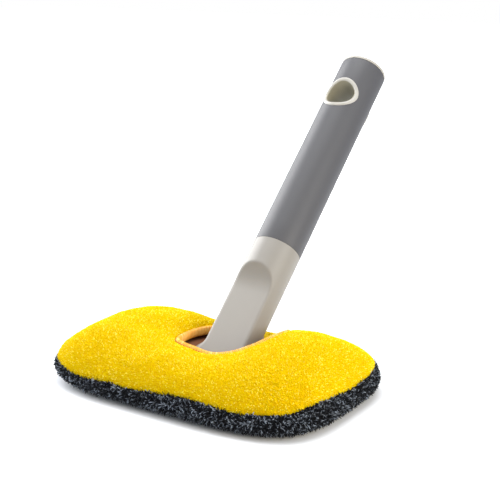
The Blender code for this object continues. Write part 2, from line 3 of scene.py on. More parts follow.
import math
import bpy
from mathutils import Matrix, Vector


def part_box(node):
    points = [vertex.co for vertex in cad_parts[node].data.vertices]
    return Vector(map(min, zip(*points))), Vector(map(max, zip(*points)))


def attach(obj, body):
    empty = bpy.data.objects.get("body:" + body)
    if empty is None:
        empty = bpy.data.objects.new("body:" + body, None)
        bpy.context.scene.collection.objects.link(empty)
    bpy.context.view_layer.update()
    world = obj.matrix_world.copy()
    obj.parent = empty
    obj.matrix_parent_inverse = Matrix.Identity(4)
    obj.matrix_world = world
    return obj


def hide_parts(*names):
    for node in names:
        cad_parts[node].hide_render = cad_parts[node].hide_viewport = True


bl_info = {
    "name": "Bath scrubber looks",
    "version": (1, 0, 0),
    "blender": (4, 5, 0),
    "location": "3D View > Sidebar > Scrubber",
    "description": "Builds the visible pieces of a bath scrubber around its packed frame",
    "category": "Object",
}

import bmesh
import bpy
import numpy as np
from bpy.props import FloatProperty, FloatVectorProperty, IntProperty, PointerProperty
from mathutils import Matrix, Vector, noise

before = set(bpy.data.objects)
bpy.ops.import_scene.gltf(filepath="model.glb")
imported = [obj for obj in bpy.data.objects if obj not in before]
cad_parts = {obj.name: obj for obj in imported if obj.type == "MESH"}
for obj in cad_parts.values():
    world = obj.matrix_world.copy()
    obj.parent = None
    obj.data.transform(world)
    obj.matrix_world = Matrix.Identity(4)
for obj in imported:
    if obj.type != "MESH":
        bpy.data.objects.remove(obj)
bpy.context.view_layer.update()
PAD_LOW, PAD_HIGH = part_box("scrub_pad")
PLATE_LOW, PLATE_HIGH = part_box("base_plate")

COVER_BODY = "cover"
HEAD_BODY = "head"
# Clearance between pieces that touch, and points closer than MERGE are one point
GAP = 0.0003
MERGE = 0.00001
# Attribute that holds the tone of each tuft, curl and stitch
TONE = "tone"
# Edges that turn by fewer degrees than these are shaded smooth
CRISP, MOULDED, BEADED, SEWN, SMOOTH = 30, 40, 50, 60, 180
# Roughness, step in scale and number of layers of the noise that moves points
NOISE_LAYERS = (1.0, 2.0, 3)


# Fields of the settings
def number_field(name, default, description, **options):
    return FloatProperty(name=name, default=default, description=description, **options)


def length_field(name, default, description):
    return number_field(name, default, description, unit="LENGTH")


def angle_field(name, degrees, description):
    return number_field(name, math.radians(degrees), description, unit="ROTATION")


def share_field(name, default, description):
    return number_field(name, default, description, min=0, max=1, subtype="FACTOR")


def count_field(name, default, description):
    return IntProperty(name=name, default=default, description=description, min=1)


def color_field(name, default, description):
    return FloatVectorProperty(name=name, default=default, description=description,
                               min=0, max=1, subtype="COLOR")


class HeadSettings(bpy.types.PropertyGroup):
    """Shape of the oblong head"""

    length: length_field("Length", PAD_HIGH.x - PAD_LOW.x, "Long side of the head")
    width: length_field("Width", PAD_HIGH.y - PAD_LOW.y, "Short side of the head")
    outline_power: number_field("Outline power", 4.2, "How square the outline's corners are")
    shift: length_field("Shift", -0.0010, "How far the soft head leans to its left end")
    lift_left: length_field("Left lift", 0.0062, "Rise of the pad at its left end")
    lift_right: length_field("Right lift", 0.0, "Rise of the pad at its right end")
    flat_share: share_field("Flat share", 0.5, "Share of the half length that lies flat")
    seam_height: length_field("Seam height", 0.0139, "Middle height of the seam")
    seam_inset: length_field("Seam inset", 0.0024, "Seam's place inside the outline")


class CoverSettings(bpy.types.PropertyGroup):
    """Yellow plush cover and its opening"""

    crest_left: length_field("Left crest", 0.0328, "Height of the cushion at its left end")
    crest_right: length_field("Right crest", 0.0342, "Height of the cushion at its right end")
    crest_front: length_field("Front crest", 0.0277, "Height of the cushion at the front")
    crest_back: length_field("Back crest", 0.0199, "Height of the cushion at the back")
    crest_fall: length_field("Back fall", 0.0008, "Fall of the back crest to the right end")
    end_power_back: number_field("Back power", 3.0, "How near the ends the back crest rises")
    shoulder_power: number_field("Shoulder power", 1.8, "How full the cushion's side is")
    back_slack: number_field("Back slack", 0.45, "How much less full the cushion is at the back")
    fabric: length_field("Fabric", 0.0014, "Thickness of the cover's fabric")
    rim_x: length_field("Opening X", 0.0075, "Middle of the opening along the head")
    rim_y: length_field("Opening Y", 0.0089, "Middle of the opening across the head")
    rim_half_length: length_field("Opening half length", 0.0349, "Half of the opening along X")
    rim_half_width: length_field("Opening half width", 0.0332, "Half its width at the front")
    rim_half_back: length_field("Opening back half width", 0.0270, "Half its width behind")
    rim_height: length_field("Opening height", 0.0260, "Middle height of the opening's edge")
    pressure: number_field("Pressure", 4.0, "Push of the foam on the fabric")
    swell: length_field("Swell", 0.0012, "Most that the fabric moves in the simulation")
    nap_count: count_field("Nap count", 57000, "Tufts of the plush")
    nap_height: length_field("Nap height", 0.00105, "Length of a plush tuft")
    nap_radius: length_field("Nap radius", 0.00038, "Radius of a plush tuft")
    # The ground is darker and more orange than the plush: its own yellow with painted warm shade
    # for the gaps between the tufts
    ground: color_field("Ground", (0.82, 0.57, 0.0), "Color of the fabric under the plush")
    plush: color_field("Plush", (0.87, 0.71, 0.0), "Middle color of the plush")


class PileSettings(bpy.types.PropertyGroup):
    """Dark curly pile of the scrubbing pad"""

    depth: length_field("Depth", 0.0022, "Length of the pile")
    curl_radius: length_field("Curl radius", 0.00021, "Half the thickness of a curl")
    side_count: count_field("Side count", 16000, "Curls round the pad's side")
    under_count: count_field("Under count", 8500, "Curls under the pad")
    bulge: length_field("Bulge", 0.0008, "How far the pad's side bulges past the outline")
    bulge_right: length_field("Right bulge", 0.0020, "Extra bulge at the right end")
    wall: length_field("Wall", 0.0045, "Thickness of the pad's backing")
    backing: color_field("Backing", (0.010, 0.011, 0.015), "Color of the pad under the pile")
    yarn: color_field("Yarn", (0.008, 0.010, 0.015), "Middle color of the curls")


class BindingSettings(bpy.types.PropertyGroup):
    """Binding of the opening"""

    width: length_field("Width", 0.0024, "Half the height of the folded band")
    narrow: share_field("Narrow", 0.65, "How much narrower the band is behind the handle")
    sunk: length_field("Sunk", 0.0020, "How deep the band sits in the plush at the front right")
    thickness: length_field("Thickness", 0.0012, "Half the thickness of the folded band")
    wrap_count: count_field("Wraps", 190, "Overlock threads across the band")
    thread: length_field("Thread", 0.00026, "Radius of a sewing thread")
    dash_count: count_field("Stitches", 112, "Stitches along the band")
    band: color_field("Band", (1.0, 0.65, 0.22), "Color of the band")
    elastic: color_field("Elastic", (0.72, 0.69, 0.62), "Color of the cord in the band")
    overlock: color_field("Overlock", (1.0, 0.62, 0.15), "Middle color of the overlock threads")
    stitch: color_field("Stitch", (0.80, 0.29, 0.02), "Middle color of the stitches")


class InsideSettings(bpy.types.PropertyGroup):
    """Foam, plate, screws and seam inside the cover"""

    # The foam's dark brown is painted shade, tinted by the warm light bounced off the yellow
    # cover
    foam: color_field("Foam", (0.16, 0.09, 0.05), "Color of the foam")
    # The plate is pale grey plastic; its dark brown is painted shade, tinted by the warm light
    # bounced off the yellow cover
    plate: color_field("Plate", (0.20, 0.085, 0.045), "Color of the plate")
    steel: color_field("Steel", (0.62, 0.62, 0.63), "Color of the screws")
    seam: color_field("Seam", (0.70, 0.40, 0.07), "Color of the overlocked seam allowance")


class HandleSettings(bpy.types.PropertyGroup):
    """Handle that leans out of the opening"""

    seat_x: length_field("Seat X", 0.0030, "Where the handle's axis meets the plate, along X")
    seat_y: length_field("Seat Y", 0.0085, "Where the handle's axis meets the plate, along Y")
    slope: angle_field("Slope", 43.4, "Handle's angle above the floor")
    radius: length_field("Radius", 0.0151, "Outer radius of the grip")
    neck: length_field("Neck", 0.0720, "Length of the pale neck")
    sleeve: length_field("Sleeve", 0.1437, "Length of the grey sleeve")
    sleeve_wall: length_field("Sleeve wall", 0.0020, "Thickness of the sleeve")
    core_wall: length_field("Core wall", 0.0024, "Thickness of the tube in the sleeve")
    flat: length_field("Thumb flat", 0.0071, "Distance of the thumb flat from the axis")
    scoop: length_field("Scoop", 0.0540, "Height at which the thumb scoop ends")
    scoop_arc: length_field("Scoop arc", 0.0202, "Radius of the scoop's upper end")
    scoop_edge: length_field("Scoop edge", 0.0010, "Softness of the edge of the scoop")
    flare_rise: length_field("Flare rise", 0.0090, "Height at which the foot starts to flare")
    flare_reach: length_field("Flare reach", 0.0070, "How far the foot spreads on the plate")
    flare_chamfer: share_field("Flare chamfer", 0.75, "Flare's shape: 0 a fillet, 1 a chamfer")
    eyelet_from_end: length_field("Hole from end", 0.0289, "Hole from the sleeve's end")
    eyelet_radius: length_field("Bush radius", 0.0117, "Outer radius of the hole's bush")
    eyelet_bore: length_field("Bush bore", 0.0092, "Radius of the hanging hole")
    cap: length_field("Cap", 0.0017, "Thickness of the end cap's lip")
    core_plastic: color_field("Core", (0.272, 0.257, 0.236), "Color of the moulded handle")
    rubber: color_field("Rubber", (0.0750, 0.0745, 0.0820), "Color of the sleeve")
    bush: color_field("Bush", (0.46, 0.445, 0.41), "Color of the bush's beads")
    # The lining's darker colour is painted shade inside the hole; the bush is one part, the same
    # cream as its beads
    lining: color_field("Lining", (0.30, 0.28, 0.21), "Color of the hanging hole's lining")
    cap_plastic: color_field("Cap color", (0.43, 0.405, 0.36), "Color of the end cap")


class StudioSettings(bpy.types.PropertyGroup):
    """Camera and light"""

    azimuth: angle_field("Azimuth", 33.82, "Camera's turn round the scrubber")
    elevation: angle_field("Elevation", 14.51, "Camera's angle above the floor")
    camera: FloatVectorProperty(name="Camera", description="Camera's place",
                                default=(0.38260, -0.53514, 0.25073), subtype="TRANSLATION")
    focal: number_field("Focal length", 86.08, "Camera's focal length", unit="CAMERA")
    floor: length_field("Floor", 6.0, "Side of the floor")
    shadow_reach: length_field("Shadow reach", 0.10, "Distance up to which the floor has no glow")
    white_reach: length_field("White reach", 0.60, "Distance from which the floor is white")
    daylight: number_field("Daylight", 0.54, "Strength of the surroundings on the scrubber")
    paint: color_field("Floor color", (0.90, 0.915, 0.95), "Color of the floor")
    sky: color_field("Sky", (0.90, 0.95, 1.0), "Color of the surroundings' light")


# Helpers for modelling
def deselect_all():
    for piece in bpy.context.selected_objects:
        piece.select_set(False)


def pick(piece):
    deselect_all()
    piece.select_set(True)
    bpy.context.view_layer.objects.active = piece
    return piece


def added(name):
    """The object that an operator just added, named, with its place applied to its mesh."""
    piece = pick(bpy.context.object)
    piece.name = name
    piece.data.name = name
    bpy.ops.object.transform_apply(location=True, rotation=True, scale=True)
    return piece


def linked(name, data):
    """A new object in the scene."""
    piece = bpy.data.objects.new(name, data)
    bpy.context.scene.collection.objects.link(piece)
    return piece


def start_edit(piece, mode="VERT", action="DESELECT"):
    pick(piece)
    bpy.ops.object.mode_set(mode="EDIT")
    bpy.ops.mesh.select_mode(type=mode)
    bpy.ops.mesh.select_all(action=action)


def end_edit():
    bpy.ops.object.mode_set(mode="OBJECT")


def choose(piece, kind, test):
    """Selects the vertices, edges or faces of a piece in edit mode that pass a test."""
    mesh = bmesh.from_edit_mesh(piece.data)
    bpy.ops.mesh.select_all(action="DESELECT")
    for item in getattr(mesh, kind):
        if test(item):
            item.select_set(True)
    mesh.select_flush_mode()
    bmesh.update_edit_mesh(piece.data)


def edge_at(height):
    """Test for an edge that lies all at one height."""
    return lambda edge: all(abs(vert.co.z - height) < MERGE for vert in edge.verts)


def is_upright(edge):
    return abs(edge.verts[0].co.z - edge.verts[1].co.z) > MERGE


def apply_modifier(piece, modifier):
    pick(piece)
    bpy.ops.object.modifier_apply(modifier=modifier.name)


def modify(piece, kind, **settings):
    """Adds a modifier with its settings, and applies it."""
    modifier = piece.modifiers.new(kind.title(), kind)
    for name, value in settings.items():
        setattr(modifier, name, value)
    apply_modifier(piece, modifier)


def shade(piece, degrees=SMOOTH):
    pick(piece)
    bpy.ops.object.shade_smooth_by_angle(angle=math.radians(degrees))


def point_outward(piece):
    start_edit(piece, action="SELECT")
    bpy.ops.mesh.normals_make_consistent(inside=False)
    end_edit()


def merge_doubles(piece):
    start_edit(piece, action="SELECT")
    bpy.ops.mesh.remove_doubles(threshold=MERGE)
    end_edit()


def move_points(piece, rule):
    for vert in piece.data.vertices:
        vert.co = rule(vert.co)
    piece.data.update()


def cut_away(piece, cutter):
    """Cuts a cutter's shape out of a piece, and removes the cutter."""
    modify(piece, "BOOLEAN", operation="DIFFERENCE", solver="EXACT", object=cutter)
    bpy.data.objects.remove(cutter)


def subdivide(piece):
    modify(piece, "SUBSURF", levels=1, render_levels=1)


def give_wall(piece, thickness, offset=-1):
    modify(piece, "SOLIDIFY", thickness=thickness, offset=offset)


def roughen(piece, depth, scale):
    """Small folds and unevenness: every point moves along its normal by a smooth noise."""
    normals = [vert.normal.copy() for vert in piece.data.vertices]
    for vert, normal in zip(piece.data.vertices, normals):
        vert.co += normal * depth * noise.fractal(vert.co * scale, *NOISE_LAYERS)
    piece.data.update()


def dress(piece, material, body, nodes=()):
    """Gives a finished piece its material and body, and hides the CAD nodes it stands for."""
    piece.data.materials.clear()
    piece.data.materials.append(material)
    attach(piece, body)
    if nodes:
        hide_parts(*nodes)


# Node groups that several materials share
def wired(tree, kind, output, inputs=(), **settings):
    """Adds a node, fills its inputs with values or links, and returns one of its outputs."""
    node = tree.nodes.new("ShaderNode" + kind)
    for name, value in settings.items():
        setattr(node, name, value)
    for label, value in dict(inputs).items():
        if isinstance(value, bpy.types.NodeSocket):
            tree.links.new(value, node.inputs[label])
        else:
            node.inputs[label].default_value = value
    return node.outputs[output]


def new_group(name, inputs, outputs):
    """A node group, with the sockets that its inputs arrive at and its outputs leave by."""
    group = bpy.data.node_groups.new(name, "ShaderNodeTree")
    for label, value in inputs.items():
        kind = "NodeSocketColor" if isinstance(value, tuple) else "NodeSocketFloat"
        socket = group.interface.new_socket(name=label, in_out="INPUT", socket_type=kind)
        socket.default_value = value
    for label, kind in outputs.items():
        group.interface.new_socket(name=label, in_out="OUTPUT", socket_type=kind)
    arrive, leave = group.nodes.new("NodeGroupInput"), group.nodes.new("NodeGroupOutput")
    return group, arrive.outputs, leave.inputs


def rgba(color):
    return (*color, 1.0)


WHITE = (1.0, 1.0, 1.0)
BLACK = (0.0, 0.0, 0.0)


def mottle_group(name):
    """Cloudy change of colour over a surface, from a noise in the piece's own space."""
    group, given, result = new_group(
        name, {"Color": rgba(WHITE), "Dark Color": rgba(BLACK), "Amount": 0.3, "Scale": 60.0},
        {"Color": "NodeSocketColor"})
    place = wired(group, "TexCoord", "Object")
    cloud = wired(group, "TexNoise", "Fac",
                  {"Vector": place, "Scale": given["Scale"], "Detail": 3.0})
    spread = wired(group, "MapRange", "Result",
                   {"Value": cloud, "From Min": 0.35, "From Max": 0.65})
    share = wired(group, "Math", "Value", {0: spread, 1: given["Amount"]}, operation="MULTIPLY")
    mix = wired(group, "Mix", "Result", {"Factor": share, "A": given["Color"],
                                         "B": given["Dark Color"]}, data_type="RGBA")
    group.links.new(mix, result["Color"])
    return group


def grain_group(name):
    """Fine grain: a height for bump, and a roughness that follows it."""
    group, given, result = new_group(
        name, {"Scale": 2000.0, "Roughness": 0.5, "Spread": 0.1},
        {"Height": "NodeSocketFloat", "Roughness": "NodeSocketFloat"})
    place = wired(group, "TexCoord", "Object")
    height = wired(group, "TexNoise", "Fac",
                   {"Vector": place, "Scale": given["Scale"], "Detail": 4.0})
    centred = wired(group, "Math", "Value", {0: height, 1: 0.5}, operation="SUBTRACT")
    rough = wired(group, "Math", "Value", {0: centred, 1: given["Spread"],
                                           2: given["Roughness"]}, operation="MULTIPLY_ADD")
    group.links.new(height, result["Height"])
    group.links.new(rough, result["Roughness"])
    return group


def tone_group(name):
    """Colour of a tuft or stitch from its own tone, from dark to middle; the highest tones take a
    painted glint colour.
    """
    group, given, result = new_group(
        name, {"Dark Color": rgba(BLACK), "Color": rgba(WHITE), "Light Color": rgba(WHITE),
               "Light Share": 0.1}, {"Color": "NodeSocketColor"})
    tone = wired(group, "Attribute", "Fac", attribute_name=TONE)
    body = wired(group, "Mix", "Result", {"Factor": tone, "A": given["Dark Color"],
                                          "B": given["Color"]}, data_type="RGBA")
    # The top share of tones takes the painted glint colour: painted highlights on single tufts,
    # curls and stitches
    start = wired(group, "Math", "Value", {0: 1.0, 1: given["Light Share"]},
                  operation="SUBTRACT")
    light = wired(group, "MapRange", "Result", {"Value": tone, "From Min": start})
    mix = wired(group, "Mix", "Result", {"Factor": light, "A": body,
                                         "B": given["Light Color"]}, data_type="RGBA")
    group.links.new(mix, result["Color"])
    return group


GROUPS = {"mottle": mottle_group, "grain": grain_group, "tuft tone": tone_group}


def shared(tree, name, output, inputs):
    """Places a shared node group in a material, and builds it first where it isn't there yet."""
    group = bpy.data.node_groups.get(name) or GROUPS[name](name)
    return wired(tree, "Group", output, inputs, node_tree=group)


# Finishes
def new_finish(name, roughness, sockets):
    """A material, its node tree and the inputs of its Principled shader."""
    material = bpy.data.materials.new(name)
    material.use_nodes = True
    shader = material.node_tree.nodes["Principled BSDF"].inputs
    shader["Roughness"].default_value = roughness
    for label, value in sockets.items():
        shader[label.replace("_", " ")].default_value = value
    return material, material.node_tree, shader


def add_clouds(tree, shader, color, dark, amount, scale):
    """Colours a shader: a colour, or a socket with one, that darkens in soft clouds."""
    clouds = shared(tree, "mottle", "Color", {"Color": color, "Dark Color": rgba(dark),
                                              "Amount": amount, "Scale": scale})
    tree.links.new(clouds, shader["Base Color"])


def add_grain(tree, shader, roughness, scale, bump, spread, distance):
    """Gives a shader a fine relief, and a roughness that follows it."""
    height = shared(tree, "grain", "Height", {"Scale": scale, "Roughness": roughness,
                                              "Spread": spread})
    relief = wired(tree, "Bump", "Normal",
                   {"Strength": bump, "Distance": distance, "Height": height})
    tree.links.new(relief, shader["Normal"])
    tree.links.new(height.node.outputs["Roughness"], shader["Roughness"])


def moulded_finish(name, color, dark, roughness, scale=900.0, bump=0.05, **sockets):
    """Moulded plastic or rubber: a slight cloudiness and a fine mould texture."""
    material, tree, shader = new_finish(name, roughness, sockets)
    add_clouds(tree, shader, rgba(color), dark, amount=0.25, scale=45.0)
    add_grain(tree, shader, roughness, scale, bump, spread=0.12, distance=0.0002)
    return material


def cloth_finish(name, color, dark, scale, roughness=0.9, bump=0.5, **sockets):
    """Woven or knitted ground of a fabric."""
    material, tree, shader = new_finish(name, roughness, sockets)
    add_clouds(tree, shader, rgba(color), dark, amount=0.5, scale=160.0)
    add_grain(tree, shader, roughness, scale, bump, spread=0.15, distance=0.0006)
    return material


def tuft_finish(name, color, dark, light, light_share, roughness, **sockets):
    """Yarn or nap whose every tuft has a tone of its own; the lightest tufts carry a painted
    glint.
    """
    material, tree, shader = new_finish(name, roughness, sockets)
    tone = shared(tree, "tuft tone", "Color", {
        "Dark Color": rgba(dark), "Color": rgba(color), "Light Color": rgba(light),
        "Light Share": light_share})
    add_clouds(tree, shader, tone, dark, amount=0.18, scale=70.0)
    return material


# Head outline, seam and opening
def outline_shares(head, angle):
    across, back = math.cos(angle), math.sin(angle)
    power = head.outline_power
    reach = (abs(across) ** power + abs(back) ** power) ** (-1 / power)
    return reach * across, reach * back


def outline_point(head, angle, inset=0.0):
    share_x, share_y = outline_shares(head, angle)
    return (head.shift + share_x * (head.length / 2 - inset),
            share_y * (head.width / 2 - inset))


def underside(head, x):
    share = (x - head.shift) / (head.length / 2)
    past_flat = max(abs(share) - head.flat_share, 0) / (1 - head.flat_share)
    lift = head.lift_right if share > 0 else head.lift_left
    return lift * past_flat ** 2


# Tables of rises, in millimetres, at equal turns from the right end through the back: the
# opening's edge and the seam over their middle heights, and the crest over its plain shape
RIM_RISES = (10.5, 8.0, 0.0, -4.6, -6.2, -6.3, -5.8, -3.6, -3.8, -4.0, -3.2, -1.2, 1.0, 1.8, 1.0,
             3.1, 6.9, 10.1)
SEAM_RISES = (0.3, 0.6, 1.4, 2.6, 1.9, 1.3, 0.6, -0.3, -0.9, -1.0, -0.8, -0.9, -0.6, -0.8, -0.9,
              -1.3, -0.3, -1.1, -1.1, -1.3, -0.8, -1.1, -0.4, -1.1, -2.5, -0.9, -1.6, -0.1, 1.5,
              1.2, -0.5, -0.2, 0.7, 3.2, 3.0, 2.1)
CREST_RISES = (2.0, 2.2, 1.4, 0.2, -0.3, 2.4, 1.2, 0, 0, 0, 0, -0.4, -1.0, -2.1, -3.0, -2.9, -2.5,
               -1.8, -1.2, -1.3, -1.5, -1.3, -1.0, -0.4, 0, 0, 0, 0, 0, 0, 0, 0, 0, 0, 0, 0.9)
MILLIMETRE = 0.001


def rise_at(rises, angle):
    """Height in metres on a smooth curve through a table of rises."""
    count = len(rises)
    station = angle / (2 * math.pi) * count
    first = math.floor(station)
    share = station - first
    before, low, high, after = (rises[(first + k) % count] for k in (-1, 0, 1, 2))
    return MILLIMETRE * (low + share * (high - before) / 2 + share ** 2 * (
        before - 2.5 * low + 2 * high - after / 2) + share ** 3 * (
        1.5 * (low - high) + (after - before) / 2))


def seam_height(head, angle):
    return head.seam_height + rise_at(SEAM_RISES, angle)


def seam_point(head, angle, inset=0.0):
    x, y = outline_point(head, angle, head.seam_inset + inset)
    return Vector((x, y, seam_height(head, angle)))


def rim_point(cover, angle):
    back = math.sin(angle)
    half_width = cover.rim_half_back if back > 0 else cover.rim_half_width
    return Vector((cover.rim_x + cover.rim_half_length * math.cos(angle),
                   cover.rim_y + half_width * back,
                   cover.rim_height + rise_at(RIM_RISES, angle)))


# Share of the way from the opening to the seam at which the crest lies
CREST_LEFT, CREST_RIGHT, CREST_FRONT, CREST_BACK = 0.55, 0.30, 0.40, 0.15
CREST_OVER_RIM = 0.0003


def crest(head, cover, angle):
    """Height of the cushion's crest at an angle, and its share of the way to the seam."""
    share_x, share_y = outline_shares(head, angle)
    power = cover.end_power_back if share_y > 0 else head.outline_power
    weight = abs(share_x) ** power
    end_height, end_share = ((cover.crest_right, CREST_RIGHT) if share_x > 0
                             else (cover.crest_left, CREST_LEFT))
    side_height, side_share = (
        (cover.crest_back - cover.crest_fall * share_x, CREST_BACK) if share_y > 0
        else (cover.crest_front, CREST_FRONT))
    height = end_height * weight + side_height * (1 - weight) + rise_at(CREST_RISES, angle)
    share = end_share * weight + side_share * (1 - weight)
    return max(height, rim_point(cover, angle).z + CREST_OVER_RIM), share


def shoulder_point(head, cover, angle, turn):
    """Place between the crest, at no turn, and the seam, at a quarter turn."""
    top, share = crest(head, cover, angle)
    rim, seam = rim_point(cover, angle), seam_point(head, angle)
    power = 2 / (cover.shoulder_power - cover.back_slack * max(math.sin(angle), 0) ** 2)
    fall = math.cos(turn) ** power if turn < math.pi / 2 else 0.0
    plan = rim + (seam - rim) * (share + (1 - share) * math.sin(turn) ** power)
    return Vector((plan.x, plan.y, seam.z + (top - seam.z) * fall))


def throat_point(head, cover, angle, turn):
    """Place between the crest, at no turn, and the opening's edge, at a quarter turn."""
    top, share = crest(head, cover, angle)
    rim, seam = rim_point(cover, angle), seam_point(head, angle)
    plan = rim + (seam - rim) * share * (1 - math.sin(turn))
    return Vector((plan.x, plan.y, rim.z + (top - rim.z) * math.cos(turn)))


def angles(count):
    return [2 * math.pi * i / count for i in range(count)]


def quarter_turns(steps):
    return [math.pi / 2 * k / steps for k in range(steps + 1)]


def loft(name, rings, fan=False):
    """A surface over rings of points. A fan closes its first ring where that is asked for."""
    mesh = bmesh.new()
    rows = [[mesh.verts.new(point) for point in ring] for ring in rings]
    first, count = rows[0], len(rows[0])
    for low, high in zip(rows, rows[1:]):
        for i in range(count):
            mesh.faces.new((low[i], low[(i + 1) % count], high[(i + 1) % count], high[i]))
    if fan:
        hub = mesh.verts.new(sum((vert.co for vert in first), Vector()) / count)
        for i in range(count):
            mesh.faces.new((hub, first[i], first[(i + 1) % count]))
    bmesh.ops.recalc_face_normals(mesh, faces=mesh.faces[:])
    data = bpy.data.meshes.new(name)
    mesh.to_mesh(data)
    mesh.free()
    return linked(name, data)


def face_up(piece, way=1):
    """Turns an open shell so that most of its faces look up, or down where the way is -1."""
    if way * sum(face.normal.z for face in piece.data.polygons) < 0:
        piece.data.flip_normals()


def running_lengths(points):
    """Distance of each point from the first, along the line through all of them."""
    steps = [(end - start).length for start, end in zip(points, points[1:])]
    return np.concatenate(([0.0], np.cumsum(steps)))


def cut_below(section, height):
    """The part of a section, read from its low end, that lies above a height."""
    for k, (low, high) in enumerate(zip(section, section[1:])):
        if high.z > height:
            share = (height - low.z) / (high.z - low.z)
            rest = [Vector((*point.xy, max(point.z, height + MERGE)))
                    for point in section[k + 1:]]
            return [low.lerp(high, max(share, 0))] + rest
    return [Vector((*point.xy, height + MERGE)) for point in section[-2:]]


def even_points(section, count):
    """Points spread evenly along a section."""
    lengths = running_lengths(section)
    wanted = np.linspace(0, lengths[-1], count)
    values = np.array([list(point) for point in section])
    columns = [np.interp(wanted, lengths, values[:, k]) for k in range(3)]
    return [Vector(point) for point in zip(*columns)]


# Scattering of tufts, curls and stitches
def rows_of(items, field, kind=float):
    """A field of three values of all of a mesh's items, as an array with a row for each."""
    values = np.empty(len(items) * 3, kind)
    items.foreach_get(field, values)
    return values.reshape(-1, 3)


def surface_samples(piece, count, seed, wanted):
    """Places spread by area over the triangles that a test wants, each with its normal."""
    mesh = piece.data
    mesh.calc_loop_triangles()
    corners = rows_of(mesh.loop_triangles, "vertices", int)
    points, normals = rows_of(mesh.vertices, "co"), rows_of(mesh.vertices, "normal")
    first, second, third = (points[corners[:, k]] for k in range(3))
    flat = np.cross(second - first, third - first)
    kept = wanted(points[corners].mean(axis=1), flat)
    corners = corners[kept]
    reach = np.cumsum(np.linalg.norm(flat[kept], axis=1))
    random = np.random.RandomState(seed)
    steps = (np.arange(count) + random.rand(count)) / count * reach[-1]
    chosen = corners[np.minimum(np.searchsorted(reach, steps), len(corners) - 1)]
    root = np.sqrt(random.rand(count))[:, None]
    side = random.rand(count)[:, None]
    shares = (1 - root, root * (1 - side), root * side)
    places = sum(share * points[chosen[:, k]] for k, share in enumerate(shares))
    facing = sum(share * normals[chosen[:, k]] for k, share in enumerate(shares))
    return places, facing / np.linalg.norm(facing, axis=1)[:, None]


def frames_from(facing, random, sway):
    """Axes for each place: up along its normal, swayed at random, with a random turn."""
    size = (len(facing), 3)
    up = facing + sway * random.normal(size=size)
    up /= np.linalg.norm(up, axis=1)[:, None]
    side = np.cross(up, random.normal(size=size))
    side /= np.linalg.norm(side, axis=1)[:, None]
    return side, np.cross(up, side), up


def copies(name, template, places, axes, scales, tones):
    """One mesh that holds a copy of a template at each place, each copy with its tone."""
    shape = rows_of(template.data.vertices, "co")
    faces = [list(face.vertices) for face in template.data.polygons]
    sizes = np.array([len(face) for face in faces])
    loops = np.array([vertex for face in faces for vertex in face])
    count = len(places)
    local = shape[None, :, :] * scales[:, None, :]
    across, depth, up = (local[:, :, k:k + 1] * axis[:, None, :] for k, axis in enumerate(axes))
    points = places[:, None, :] + across + depth + up
    data = bpy.data.meshes.new(name)
    data.vertices.add(count * len(shape))
    data.vertices.foreach_set("co", points.reshape(-1))
    offsets = np.arange(count)[:, None] * len(shape)
    data.loops.add(count * len(loops))
    data.loops.foreach_set("vertex_index", (loops[None, :] + offsets).reshape(-1))
    data.polygons.add(count * len(faces))
    starts = np.concatenate(([0], np.cumsum(np.tile(sizes, count))[:-1]))
    data.polygons.foreach_set("loop_start", starts)
    data.update(calc_edges=True)
    data.validate()
    tone = data.attributes.new(TONE, "FLOAT", "POINT")
    tone.data.foreach_set("value", np.repeat(tones, len(shape)).astype(np.float32))
    data.shade_smooth()
    return linked(name, data)


def scattered(name, template, places, facing, random, height, least, spread, sway):
    """Copies that stand on a surface, each with a size, lean, turn and tone of its own."""
    scales = height * (least + spread * random.rand(len(places), 1))
    axes = frames_from(facing, random, sway)
    return copies(name, template, places, axes, scales, random.rand(len(places)))


# Cover
COVER_FACETS = 144
SHOULDER_ROWS = 14
THROAT_ROWS = 7
SEAM_TUCK = 0.0012
CLOTH_SETTINGS = {"quality": 6, "mass": 0.3, "tension_stiffness": 8.0,
                  "compression_stiffness": 8.0, "shear_stiffness": 4.0,
                  "bending_stiffness": 0.4, "use_pressure": True}
SIMULATION_FRAMES = 20
FOLD_DEPTH = 0.0005
FOLD_SCALE = 55.0
NAP_PIECES = 3
NAP_PLACES_SEED, NAP_SHAPES_SEED = 11, 12
# For a tuft one unit long: its tip's share of its root's radius, its middle's height over the
# fabric, and how far its tip leans
TUFT_TAPER, TUFT_MIDDLE, TUFT_LEAN = 0.4, 0.3, 0.25


def cover_rings(head, cover):
    laps = angles(COVER_FACETS)
    tuck = Vector((0, 0, SEAM_TUCK))
    rings = [[seam_point(head, angle, SEAM_TUCK / 2) - tuck for angle in laps]]
    for turn in reversed(quarter_turns(SHOULDER_ROWS)):
        rings.append([shoulder_point(head, cover, angle, turn) for angle in laps])
    for turn in quarter_turns(THROAT_ROWS)[1:]:
        rings.append([throat_point(head, cover, angle, turn) for angle in laps])
    return rings


def swell(piece, held, pressure, most):
    """Presses the fabric out from inside. Held points stay, and none moves too far."""
    before = [vert.co.copy() for vert in piece.data.vertices]
    group = piece.vertex_groups.new(name="held")
    group.add(held, 1.0, "REPLACE")
    cloth = piece.modifiers.new("Cloth", "CLOTH")
    for name, value in CLOTH_SETTINGS.items():
        setattr(cloth.settings, name, value)
    cloth.settings.uniform_pressure_force = pressure
    cloth.settings.effector_weights.gravity = 0.0
    cloth.settings.vertex_group_mass = group.name
    cloth.collision_settings.use_collision = False
    cloth.point_cache.frame_start = 1
    cloth.point_cache.frame_end = SIMULATION_FRAMES
    for number in range(1, SIMULATION_FRAMES + 1):
        bpy.context.scene.frame_set(number)
    apply_modifier(piece, cloth)
    for vert, old in zip(piece.data.vertices, before):
        move = vert.co - old
        if move.length > most:
            vert.co = old + move.normalized() * most
    bpy.context.scene.frame_set(1)
    piece.vertex_groups.clear()


